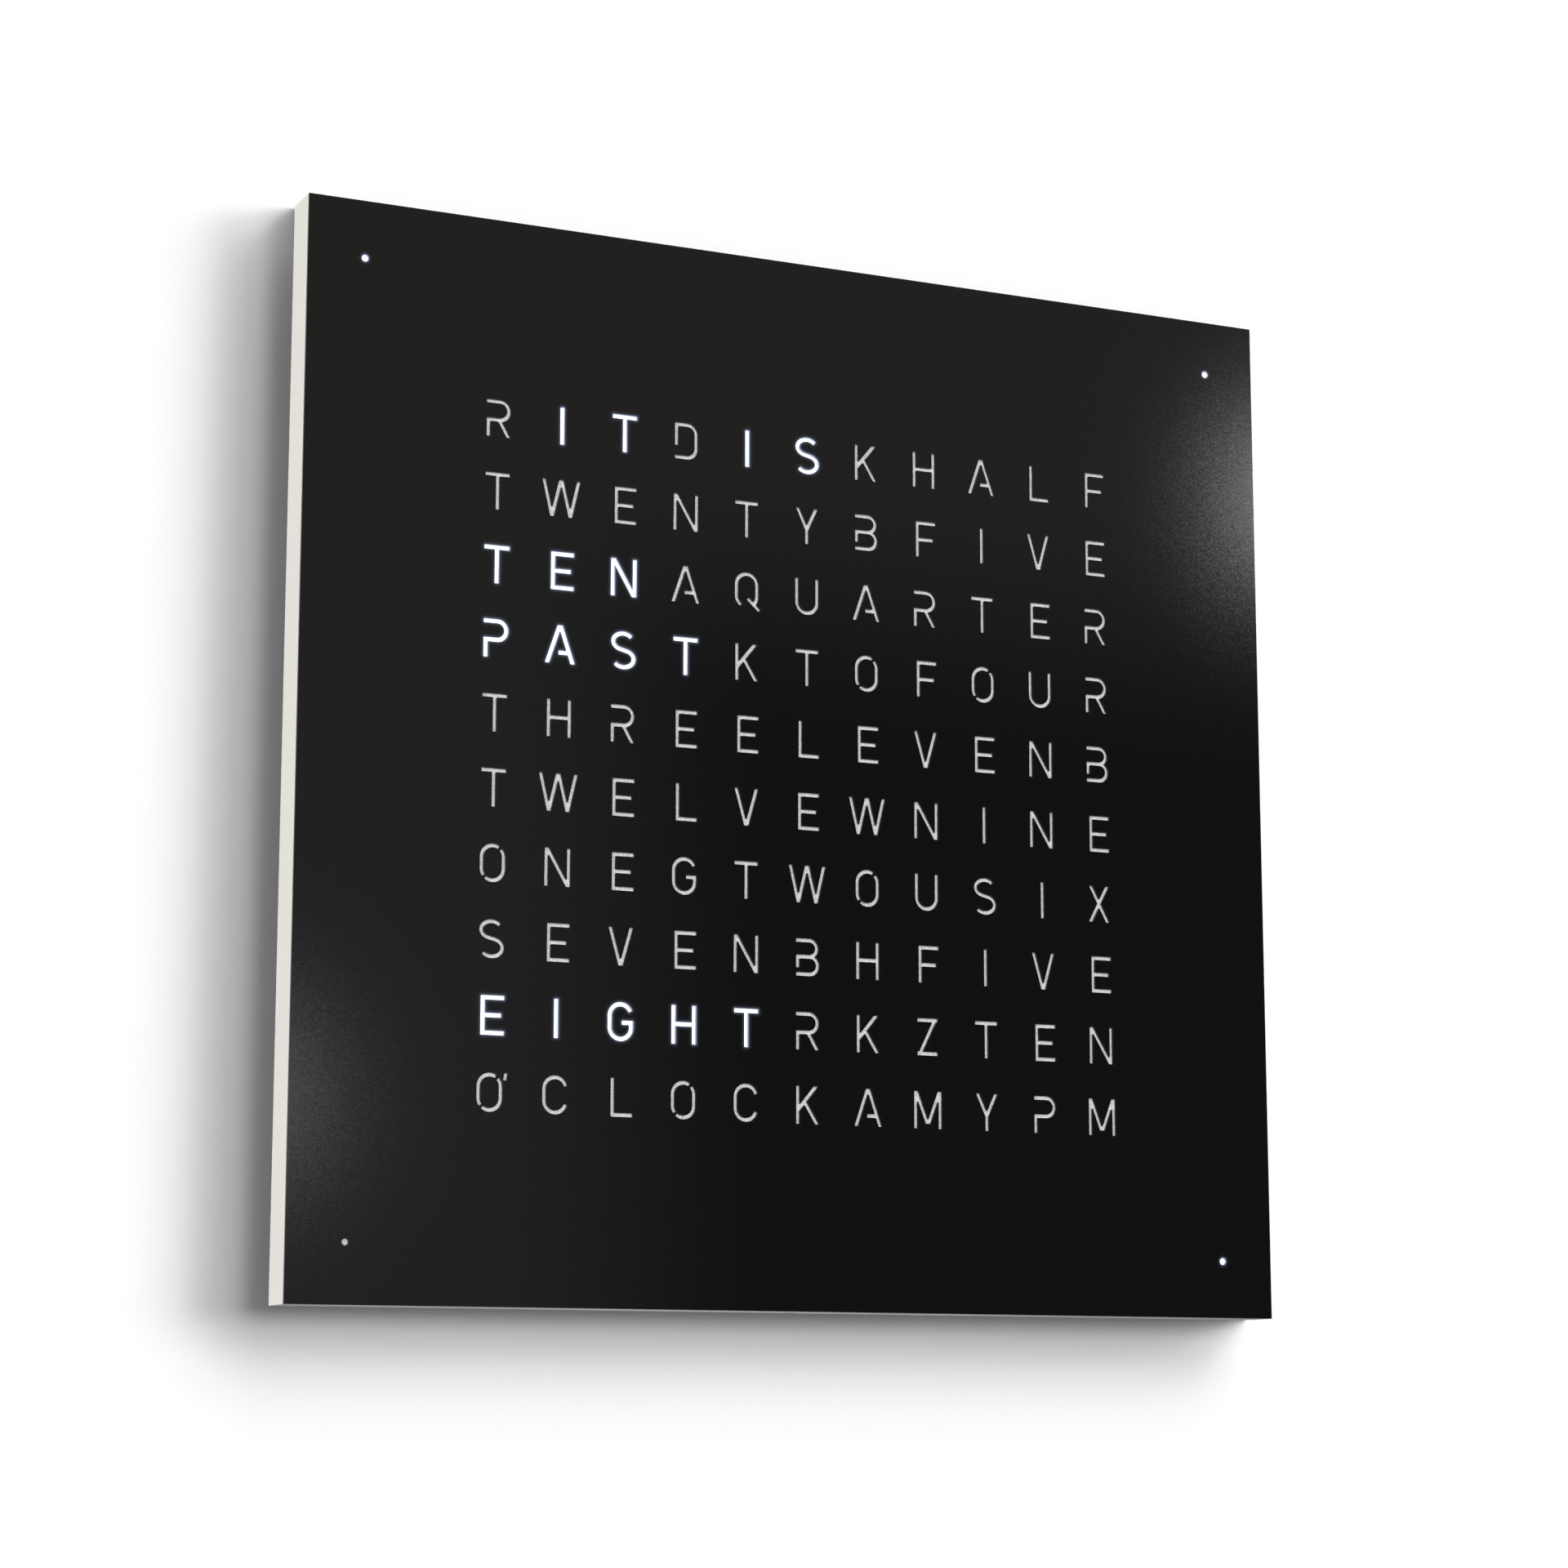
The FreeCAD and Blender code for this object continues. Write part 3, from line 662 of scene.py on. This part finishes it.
def cap_rings(middle, shoulder, top):
    """Rings of a button's cap: a straight side, a round edge and a dished top."""
    side = circle(BUTTON_CAP, middle)
    rings = [(side, shoulder), (side, top - BUTTON_EDGE * MM)]
    for n in range(1, CORNER_STEPS + 1):
        turn = math.radians(90 * n / CORNER_STEPS)
        radius = BUTTON_CAP - BUTTON_EDGE * (1 - math.cos(turn))
        rings.append((circle(radius, middle), top - BUTTON_EDGE * (1 - math.sin(turn)) * MM))
    hollow = BUTTON_CAP - BUTTON_EDGE - BUTTON_RIM
    for n in range(DISH_RINGS):
        share = 1 - n / DISH_RINGS
        rings.append((circle(hollow * share, middle), top - BUTTON_DISH * (1 - share * share) * MM))
    return rings


def flange_rings(half, middle, low, shoulder):
    """Rings of a button's square stem and bevelled flange."""
    stem = soft_square(BUTTON_STEM, middle, STEM_CORNER)
    wide, narrow = soft_square(half, middle), soft_square(half - FLANGE_EDGE, middle)
    under = shoulder - FLANGE * MM
    edge = FLANGE_EDGE * MM
    rings = [(stem, low), (stem, under), (narrow, under), (wide, under + edge)]
    return rings + [(wide, shoulder - edge), (narrow, shoulder)]


def make_button(name):
    """A push button with a dished, round-edged cap on a square flange and stem."""
    node_name = name + "_button"
    low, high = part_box(node_name)
    middle = Vector((low.x + high.x, low.z + high.z)) / (2 * MM)
    shoulder = high.y - BUTTON_RISE * MM
    cap = cap_rings(middle, shoulder, high.y)
    flange = flange_rings((high.x - low.x) / (2 * MM), middle, low.y, shoulder)
    dish_floor, dish_y = cap[-1]
    shell = bmesh.new()
    add_bands(shell, cap, False)
    add_face(shell, dish_floor, [], dish_y, False)
    add_bands(shell, flange, False)
    add_face(shell, flange[0][0], [], low.y, True)
    add_face(shell, flange[-1][0], [cap[0][0]], shoulder, False)
    bmesh.ops.remove_doubles(shell, verts=shell.verts, dist=WELD)
    button = new_object(name + "_cap", shell, [MATERIALS["button"]], sharp=50.0)
    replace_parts(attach(button, name), node_name)


# ---------------------------------------------------------------- materials

def new_material(name):
    material = bpy.data.materials.new(name)
    material.use_nodes = True
    return material, material.node_tree.nodes["Principled BSDF"]


def node(owner, kind, **settings):
    """A new shader node of a material or world."""
    made = owner.node_tree.nodes.new("ShaderNode" + kind)
    for name, value in settings.items():
        setattr(made, name, value)
    return made


def link(owner, output, socket):
    owner.node_tree.links.new(output, socket)


def combine(owner, operation, one, two):
    """The sum, product or larger of two values."""
    made = node(owner, "Math", operation=operation)
    link(owner, one, made.inputs[0])
    link(owner, two, made.inputs[1])
    return made.outputs[0]


def to_and_fro(material, value, reach):
    """The value, running up and down between 0 and this reach."""
    made = node(material, "Math", operation="PINGPONG")
    made.inputs[1].default_value = reach
    link(material, value, made.inputs[0])
    return made.outputs[0]


def axes(material):
    """Outputs X, Y and Z, the place in the frame."""
    place = node(material, "TexCoord")
    split = node(material, "SeparateXYZ")
    link(material, place.outputs["Object"], split.inputs[0])
    return split.outputs


def noise(material, size, detail=2.0):
    """Noise from 0 to 1 whose grains have about this size, in metres."""
    place = node(material, "TexCoord")
    texture = node(material, "TexNoise")
    texture.inputs["Scale"].default_value = 1 / size
    texture.inputs["Detail"].default_value = detail
    link(material, place.outputs["Object"], texture.inputs["Vector"])
    return texture.outputs["Fac"]


def spread(material, value, low, high, start=0.3, end=0.7):
    """The value's range from start to end, stretched from low to high."""
    made = node(material, "MapRange")
    link(material, value, made.inputs["Value"])
    for socket, number in zip(made.inputs[1:5], (start, end, low, high)):
        socket.default_value = number
    return made.outputs["Result"]


MIX_FACTOR, MIX_ONE, MIX_TWO, MIX_COLOUR = 0, 6, 7, 2  # the Mix node's sockets for colours


def tint(material, value, one, two):
    """A colour between two others."""
    made = node(material, "Mix", data_type="RGBA")
    link(material, value, made.inputs[MIX_FACTOR])
    made.inputs[MIX_ONE].default_value = (*one, 1)
    made.inputs[MIX_TWO].default_value = (*two, 1)
    return made.outputs[MIX_COLOUR]


def bump(material, shader, height, depth):
    """Relief of this depth, in metres."""
    made = node(material, "Bump")
    made.inputs["Strength"].default_value = 1.0
    made.inputs["Distance"].default_value = depth
    link(material, height, made.inputs["Height"])
    link(material, made.outputs["Normal"], shader.inputs["Normal"])


def speckle(material, size):
    """A random colour for each tiny grain of a surface."""
    place = node(material, "TexCoord")
    cells = node(material, "TexVoronoi")
    cells.inputs["Scale"].default_value = 1 / size
    link(material, place.outputs["Object"], cells.inputs["Vector"])
    return cells.outputs["Color"]


def flakes(material, shader, size, tilt):
    """A surface of tiny flat grains, each tilted its own way by up to this slope."""
    slope = node(material, "VectorMath", operation="MULTIPLY_ADD")
    slope.inputs[1].default_value = (2 * tilt,) * 3
    slope.inputs[2].default_value = (-tilt,) * 3
    link(material, speckle(material, size), slope.inputs[0])
    tilted = node(material, "VectorMath", operation="ADD")
    link(material, slope.outputs[0], tilted.inputs[0])
    link(material, node(material, "NewGeometry").outputs["Normal"], tilted.inputs[1])
    unit = node(material, "VectorMath", operation="NORMALIZE")
    link(material, tilted.outputs[0], unit.inputs[0])
    link(material, unit.outputs[0], shader.inputs["Normal"])


def shaded(colour, factor):
    return tuple(channel * factor for channel in colour)


CLOUD = 40  # size of a surface's clouds against its grains


def grained(name, colour, roughness, size, depth, vary=0.08, metallic=0.0, sheen=0.03):
    """A moulded, painted or machined surface, with grains of this size and depth in metres.

    The colour varies in clouds, by the share vary. Roughness varies in both, by sheen."""
    material, shader = new_material(name)
    grain = noise(material, size, 4.0)
    cloud = noise(material, size * CLOUD, 3.0)
    base = tint(material, cloud, shaded(colour, 1 - vary), shaded(colour, 1 + vary))
    link(material, base, shader.inputs["Base Color"])
    mixed = combine(material, "ADD", grain, cloud)
    gloss = spread(material, mixed, roughness - sheen, roughness + sheen, 0.6, 1.4)
    link(material, gloss, shader.inputs["Roughness"])
    shader.inputs["Metallic"].default_value = metallic
    bump(material, shader, grain, depth)
    return material


def make_hammered_coat(name, dark, pale):
    """Dark textured paint: close pits and grains, worn smoother here and there."""
    pit, patch, depth, patch_share = 0.0013, 0.05, 0.0003, 0.25
    material, shader = new_material(name)
    grain = noise(material, pit, 3.0)
    cloud = noise(material, patch, 3.0)
    mottle = node(material, "Math", operation="MULTIPLY_ADD")
    mottle.inputs[1].default_value = patch_share
    link(material, cloud, mottle.inputs[0])
    link(material, grain, mottle.inputs[2])
    shade = spread(material, mottle.outputs[0], 0.0, 1.0, 0.45, 0.8)
    link(material, tint(material, shade, dark, pale), shader.inputs["Base Color"])
    link(material, spread(material, cloud, 0.34, 0.52), shader.inputs["Roughness"])
    bump(material, shader, grain, depth)
    return material


def make_zinc():
    """Zinc-coated steel, with the pale and dull crystals that the bath leaves."""
    crystal, patch = 0.0032, 0.02
    dull, pale = (0.46, 0.48, 0.51), (0.64, 0.66, 0.69)
    material, shader = new_material("zinc_plate")
    link(material, tint(material, speckle(material, crystal), dull, pale), shader.inputs["Base Color"])
    link(material, spread(material, noise(material, patch), 0.24, 0.38), shader.inputs["Roughness"])
    shader.inputs["Metallic"].default_value = 1.0
    flakes(material, shader, crystal, 0.04)
    return material


def make_powder_coat(name, tilt, roughness, specular):
    """Black powder coat with a fine grain, and the glow of the lit letters round their edges."""
    grain, patch = 0.00022, 0.004
    dark, pale = (0.0040, 0.0040, 0.0044), (0.0050, 0.0050, 0.0054)
    material, shader = new_material(name)
    flakes(material, shader, grain, tilt)
    cloud = noise(material, patch)
    link(material, tint(material, cloud, dark, pale), shader.inputs["Base Color"])
    link(material, spread(material, cloud, roughness, roughness + 0.01), shader.inputs["Roughness"])
    shader.inputs["Specular IOR Level"].default_value = specular
    shader.inputs["Emission Color"].default_value = GLOW_COLOUR
    glow = node(material, "Attribute", attribute_name="glow").outputs["Fac"]
    light = spread(material, glow, 0.0, GLOW_LIGHT * GLOW_MOST, 0.0, GLOW_MOST)
    link(material, light, shader.inputs["Emission Strength"])
    return material


OPAL_DARK, OPAL_PALE = (0.46, 0.445, 0.44), (0.92, 0.90, 0.895)
OPAL_GRAIN = 0.0004
LED_WHITE = (0.94, 0.97, 1.0, 1)
FADE_START, FADE_END = 0.36, 0.5  # of the light beside a web, in shares of a well from its middle


def well_light(material):
    """How well each letter's well lights the sheet: even in the middle, less beside the webs."""
    place = axes(material)
    shares = []
    for axis, pitch, count in (("X", PITCH_X, COLUMNS), ("Z", PITCH_Y, ROWS)):
        shift = 0.0 if count % 2 else 0.5
        cells = spread(material, place[axis], shift, shift + 1, 0.0, pitch * MM)
        cells.node.clamp = False
        wave = to_and_fro(material, cells, 0.5)
        shares.append(spread(material, wave, 1.0, 0.0, FADE_START, FADE_END))
    return combine(material, "MULTIPLY", *shares)


def new_opal(name):
    """(material, shader) of opal acrylic with a faint grain."""
    material, shader = new_material(name)
    base = tint(material, speckle(material, OPAL_GRAIN), OPAL_DARK, OPAL_PALE)
    link(material, base, shader.inputs["Base Color"])
    shader.inputs["Roughness"].default_value = 0.5
    shader.inputs["Emission Color"].default_value = LED_WHITE
    return material, shader


def make_opal(name, low, high):
    """Opal acrylic lit from behind, this much beside the webs and in the wells' middle."""
    material, shader = new_opal(name)
    light = spread(material, well_light(material), low, high, 0.0, 1.0)
    link(material, light, shader.inputs["Emission Strength"])
    return material


def make_minute_opal():
    """The minute dots' opal squares: lit, but for the one at the lower left."""
    material, shader = new_opal("opal_minutes")
    place = axes(material)
    right_or_high = combine(material, "MAXIMUM", place["X"], place["Z"])
    light = spread(material, right_or_high, 0.0, 1.5, -0.01, 0.01)
    link(material, light, shader.inputs["Emission Strength"])
    return material


# Each grained surface: name, colour, roughness, size of its grains, their depth
MATERIALS = {
    "black_cover": make_powder_coat("black_powder_coat", tilt=0.012, roughness=0.04, specular=0.5),
    "white_lacquer": grained("white_lacquer", (0.776, 0.752, 0.694), 0.5, 0.0006, 0.000008, vary=0.012),
    "white_grid": grained("white_moulding", (0.80, 0.80, 0.78), 0.42, 0.0012, 0.00001, vary=0.015),
    "opal": make_opal("opal_acrylic", low=0.0, high=0.02),
    "white_board": grained("white_solder_mask", (0.72, 0.74, 0.72), 0.35, 0.001, 0.00001),
    "green_board": grained("green_solder_mask", (0.02, 0.12, 0.05), 0.32, 0.001, 0.00001, vary=0.2),
    "led": grained("led_phosphor", (0.85, 0.80, 0.55), 0.3, 0.0008, 0.00001),
    "chip": grained("black_epoxy", (0.018, 0.018, 0.019), 0.45, 0.0004, 0.00001, vary=0.15),
    "lead": grained("flat_lead", (0.30, 0.31, 0.33), 0.4, 0.001, 0.00001),
    "rear_panel": make_hammered_coat("charcoal_sheet", (0.009, 0.009, 0.010), (0.036, 0.036, 0.038)),
    "black_moulding": grained(
        "black_moulding", (0.014, 0.014, 0.015), 0.40, 0.0006, 0.00002, vary=0.15, sheen=0.05,
    ),
    "zinc_steel": make_zinc(),
    "nickel": grained("nickel_plate", (0.70, 0.69, 0.66), 0.16, 0.001, 0.000003, vary=0.03, metallic=1.0),
    "contact": grained("tinned_brass", (0.80, 0.66, 0.36), 0.25, 0.001, 0.000003, vary=0.05, metallic=1.0),
    "cell": grained("stainless_can", (0.66, 0.66, 0.66), 0.26, 0.001, 0.000003, vary=0.03, metallic=1.0),
    "button": grained("grey_button", (0.10, 0.10, 0.105), 0.4, 0.0006, 0.00001),
}

for part in frame["record"]["subparts"]:
    mesh = frame["nodes"][part["node"]].data
    mesh.materials.clear()
    mesh.materials.append(MATERIALS[part["material_slot"]])
minutes = frame["nodes"]["minute_diffusers"].data
minutes.materials[0] = make_minute_opal()

cut_paint = make_powder_coat("thin_black_coat", tilt=0.1, roughness=0.5, specular=0.15)
make_cover(MATERIALS["black_cover"], cut_paint)
make_screws()
for name in ("mode", "minus", "plus"):
    make_button(name)
make_opal_sheet(MATERIALS["opal"], make_opal("opal_acrylic_lit", low=0.7, high=1.3))
frame["nodes"]["case_frame"].visible_diffuse = False  # the white case bounces no light at its neighbours


# ---------------------------------------------------------------- studio

def stage_plane(name, corners, material):
    """A flat piece of the studio."""
    mesh = bpy.data.meshes.new(name)
    mesh.from_pydata(corners, [], [tuple(range(len(corners)))])
    mesh.materials.append(material)
    plane = bpy.data.objects.new(name, mesh)
    bpy.context.scene.collection.objects.link(plane)
    plane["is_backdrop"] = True
    return plane


def glowing(name, strength=1.0):
    """(material, emission node) of a stage material that shines."""
    material = bpy.data.materials.new(name)
    material.use_nodes = True
    material.node_tree.nodes.remove(material.node_tree.nodes["Principled BSDF"])
    shine = node(material, "Emission")
    shine.inputs["Color"].default_value = (1, 1, 1, 1)
    shine.inputs["Strength"].default_value = strength
    return material, shine


def show(material, shader):
    """Make this shader node the material's surface."""
    link(material, shader.outputs[0], material.node_tree.nodes["Material Output"].inputs["Surface"])


def both_shaders(material, one, two):
    """The sum of two shader nodes."""
    made = node(material, "AddShader")
    link(material, one.outputs[0], made.inputs[0])
    link(material, two.outputs[0], made.inputs[1])
    return made


def one_sided_white(name, haze):
    """Matt white that can't be seen from behind, with a little light of its own."""
    material, shine = glowing(name, haze)
    paint = node(material, "BsdfDiffuse")
    paint.inputs["Color"].default_value = (1, 1, 1, 1)
    mix = node(material, "MixShader")
    link(material, node(material, "NewGeometry").outputs["Backfacing"], mix.inputs[0])
    link(material, both_shaders(material, paint, shine).outputs[0], mix.inputs[1])
    link(material, node(material, "BsdfTransparent").outputs[0], mix.inputs[2])
    show(material, mix)
    return material


WALL_GAP = 0.0004  # between the clock's back and the wall
WALL_Y = cad_high.y + WALL_GAP
WALL_HAZE = 0.05
FLOOR_Z = -1.1
FLOOR_HAZE = 0.22
STUDIO = 6.0  # half width of wall and floor

wall = stage_plane("studio_wall", [
    (-STUDIO, WALL_Y, FLOOR_Z),
    (STUDIO, WALL_Y, FLOOR_Z),
    (STUDIO, WALL_Y, STUDIO),
    (-STUDIO, WALL_Y, STUDIO),
], one_sided_white("studio_white", WALL_HAZE))
floor = stage_plane("studio_floor", [
    (-STUDIO, -STUDIO, FLOOR_Z),
    (STUDIO, -STUDIO, FLOOR_Z),
    (STUDIO, WALL_Y, FLOOR_Z),
    (-STUDIO, WALL_Y, FLOOR_Z),
], one_sided_white("studio_floor", FLOOR_HAZE))

on_wall = bpy.data.collections.new("on_wall")
on_clock = bpy.data.collections.new("on_clock")
for plane in (wall, floor):
    plane.visible_diffuse = plane.visible_glossy = plane.visible_transmission = plane.visible_shadow = False
    on_wall.objects.link(plane)
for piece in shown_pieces():
    on_clock.objects.link(piece)


def add_sun(name, toward, strength, angle, lights):
    """A distant soft light from a direction, angle degrees wide, on one collection or on everything."""
    data = bpy.data.lights.new(name, "SUN")
    data.energy = strength
    data.angle = math.radians(angle)
    lamp = bpy.data.objects.new(name, data)
    lamp.rotation_mode = "QUATERNION"
    lamp.rotation_quaternion = Vector(toward).to_track_quat("Z", "Y")
    lamp.visible_glossy = False
    lamp.light_linking.receiver_collection = lights
    bpy.context.scene.collection.objects.link(lamp)


# The wall's lights, which throw the soft shadow to the lower left
add_sun("wall_near", (0.54, -1, 0.23), 0.55, 24, on_wall)
add_sun("wall_side", (2.14, -1, 0.50), 2.35, 23, on_wall)
add_sun("wall_high", (1.56, -1, 1.29), 1.56, 25, on_wall)
add_sun("wall_top", (0.96, -1, 2.42), 1.69, 39, on_wall)
# The clock's lights
add_sun("front", (0.1, -1, 0.15), 2.08, 40, on_clock)
add_sun("left", (-1, -0.35, 0.1), 2.90, 60, on_clock)
add_sun("rear", (0.9, 0.7, 0.8), 3.4, 30, on_clock)
# A weak one from below, on everything
add_sun("low", (-0.60, -1, -1.06), 0.23, 38, None)


DIM_CARD_Y = -2.6
DIM_LIGHT, DARK_LIGHT = 0.268, 0.028
DARKER_RIGHT = (0.84, 1.12)  # where the dim card starts and ends to darken, along X
DARKER_BELOW = (0.59, 0.855)  # and along Z, where it is dark and where it no longer is
WARMER_ABOVE = (0.6, 0.9)  # where it gets warmer, along Z
WARM, WARMER = (1.0, 0.965, 0.94), (1.0, 0.93, 0.84)
SOFT_BOX_Y = -2.4
SOFT_BOX_ROOM = 4  # half width of a soft box's card, against the reach of its light
REAR_CARD_Y = 2.6
REAR_SPACING = 1.1  # from the middle of a rear light to the middle of the gap beside it
REAR_DIM, REAR_BRIGHT = 0.16, 0.9
REAR_FADE = (0.2, 1.0)  # where the gap ends and the light is brightest, from the middle of the gap


def only_mirrored(card):
    """Only glossy surfaces see this card."""
    card.visible_camera = card.visible_diffuse = card.visible_transmission = card.visible_shadow = False
    card.visible_volume_scatter = False


def standing(y, half_width, half_height, x=0.0, z=0.0):
    """Corners of an upright card across Y."""
    signs = ((-1, -1), (1, -1), (1, 1), (-1, 1))
    return [(x + i * half_width, y, z + k * half_height) for i, k in signs]


def make_dim_card():
    """The dim side of the studio that the black cover mirrors: darker to the lower right, warmer above."""
    material, shine = glowing("dim_cloth")
    place = axes(material)
    right = spread(material, place["X"], 0.0, 1.0, *DARKER_RIGHT)
    below = spread(material, place["Z"], 1.0, 0.0, *DARKER_BELOW)
    dark = combine(material, "MULTIPLY", right, below)
    link(material, spread(material, dark, DIM_LIGHT, DARK_LIGHT, 0.0, 1.0), shine.inputs["Strength"])
    above = spread(material, place["Z"], 0.0, 1.0, *WARMER_ABOVE)
    link(material, tint(material, above, WARM, WARMER), shine.inputs["Color"])
    show(material, shine)
    only_mirrored(stage_plane("dim_card", standing(DIM_CARD_Y, half_width=7, half_height=5), material))


def make_rear_card():
    """Tall soft lights in a dim studio, which the clock's back mirrors."""
    material, shine = glowing("rear_lights")
    wave = to_and_fro(material, axes(material)["X"], REAR_SPACING)
    link(material, spread(material, wave, REAR_DIM, REAR_BRIGHT, *REAR_FADE), shine.inputs["Strength"])
    show(material, shine)
    only_mirrored(stage_plane("rear_card", standing(REAR_CARD_Y, half_width=7, half_height=6), material))


def make_soft_box(name, x, z, reach, strength):
    """A soft round light that fades out from its middle, and shows only as a sheen on the cover."""
    material, shine = glowing(name)
    half = SOFT_BOX_ROOM * reach
    move = node(material, "Mapping")
    move.inputs["Location"].default_value = (-x / half, 0, -z / half)
    move.inputs["Scale"].default_value = (1 / half, 0, 1 / half)
    link(material, node(material, "TexCoord").outputs["Object"], move.inputs["Vector"])
    away = node(material, "VectorMath", operation="DOT_PRODUCT")
    link(material, move.outputs["Vector"], away.inputs[0])
    link(material, move.outputs["Vector"], away.inputs[1])
    fall = node(material, "Math", operation="MULTIPLY")
    fall.inputs[1].default_value = -half * half / (2 * reach * reach)
    link(material, away.outputs["Value"], fall.inputs[0])
    bell = node(material, "Math", operation="EXPONENT")
    link(material, fall.outputs[0], bell.inputs[0])
    link(material, spread(material, bell.outputs[0], 0.0, strength, 0.0, 1.0), shine.inputs["Strength"])
    show(material, both_shaders(material, shine, node(material, "BsdfTransparent")))
    only_mirrored(stage_plane(name, standing(SOFT_BOX_Y, half, half, x, z), material))


make_dim_card()
make_rear_card()
make_soft_box("right_soft_box", x=1.827, z=0.868, reach=0.078, strength=6.4)
make_soft_box("left_soft_box", x=0.449, z=0.075, reach=0.074, strength=2.0)


def make_world(ambient):
    """White to camera, glossy and transmission rays, and this dim as a light."""
    world = bpy.data.worlds.new("studio")
    bpy.context.scene.world = world
    world.use_nodes = True
    backdrop = world.node_tree.nodes["Background"]
    backdrop.inputs["Color"].default_value = (1, 1, 1, 1)
    glow = node(world, "Background")
    glow.inputs["Strength"].default_value = ambient
    rays = node(world, "LightPath").outputs
    seen = combine(world, "MAXIMUM", rays["Is Camera Ray"], rays["Is Glossy Ray"])
    seen = combine(world, "MAXIMUM", seen, rays["Is Transmission Ray"])
    mix = node(world, "MixShader")
    link(world, seen, mix.inputs[0])
    link(world, glow.outputs[0], mix.inputs[1])
    link(world, backdrop.outputs[0], mix.inputs[2])
    link(world, mix.outputs[0], world.node_tree.nodes["World Output"].inputs["Surface"])


make_world(ambient=0.10)

CAMERA_PLACE = Vector((-0.6587, -1.4090, -0.2737))
CAMERA_AIM = Vector((-0.0110, -0.0200, -0.0045))
camera_data = bpy.data.cameras.new("camera")
camera_data.lens = 84.66
camera_data.sensor_width = 36.0
camera = bpy.data.objects.new("camera", camera_data)
camera.location = CAMERA_PLACE
camera.rotation_mode = "QUATERNION"
camera.rotation_quaternion = (CAMERA_AIM - CAMERA_PLACE).to_track_quat("-Z", "Y")
bpy.context.scene.collection.objects.link(camera)
bpy.context.scene.camera = camera
bpy.context.scene.view_settings.view_transform = "Standard"
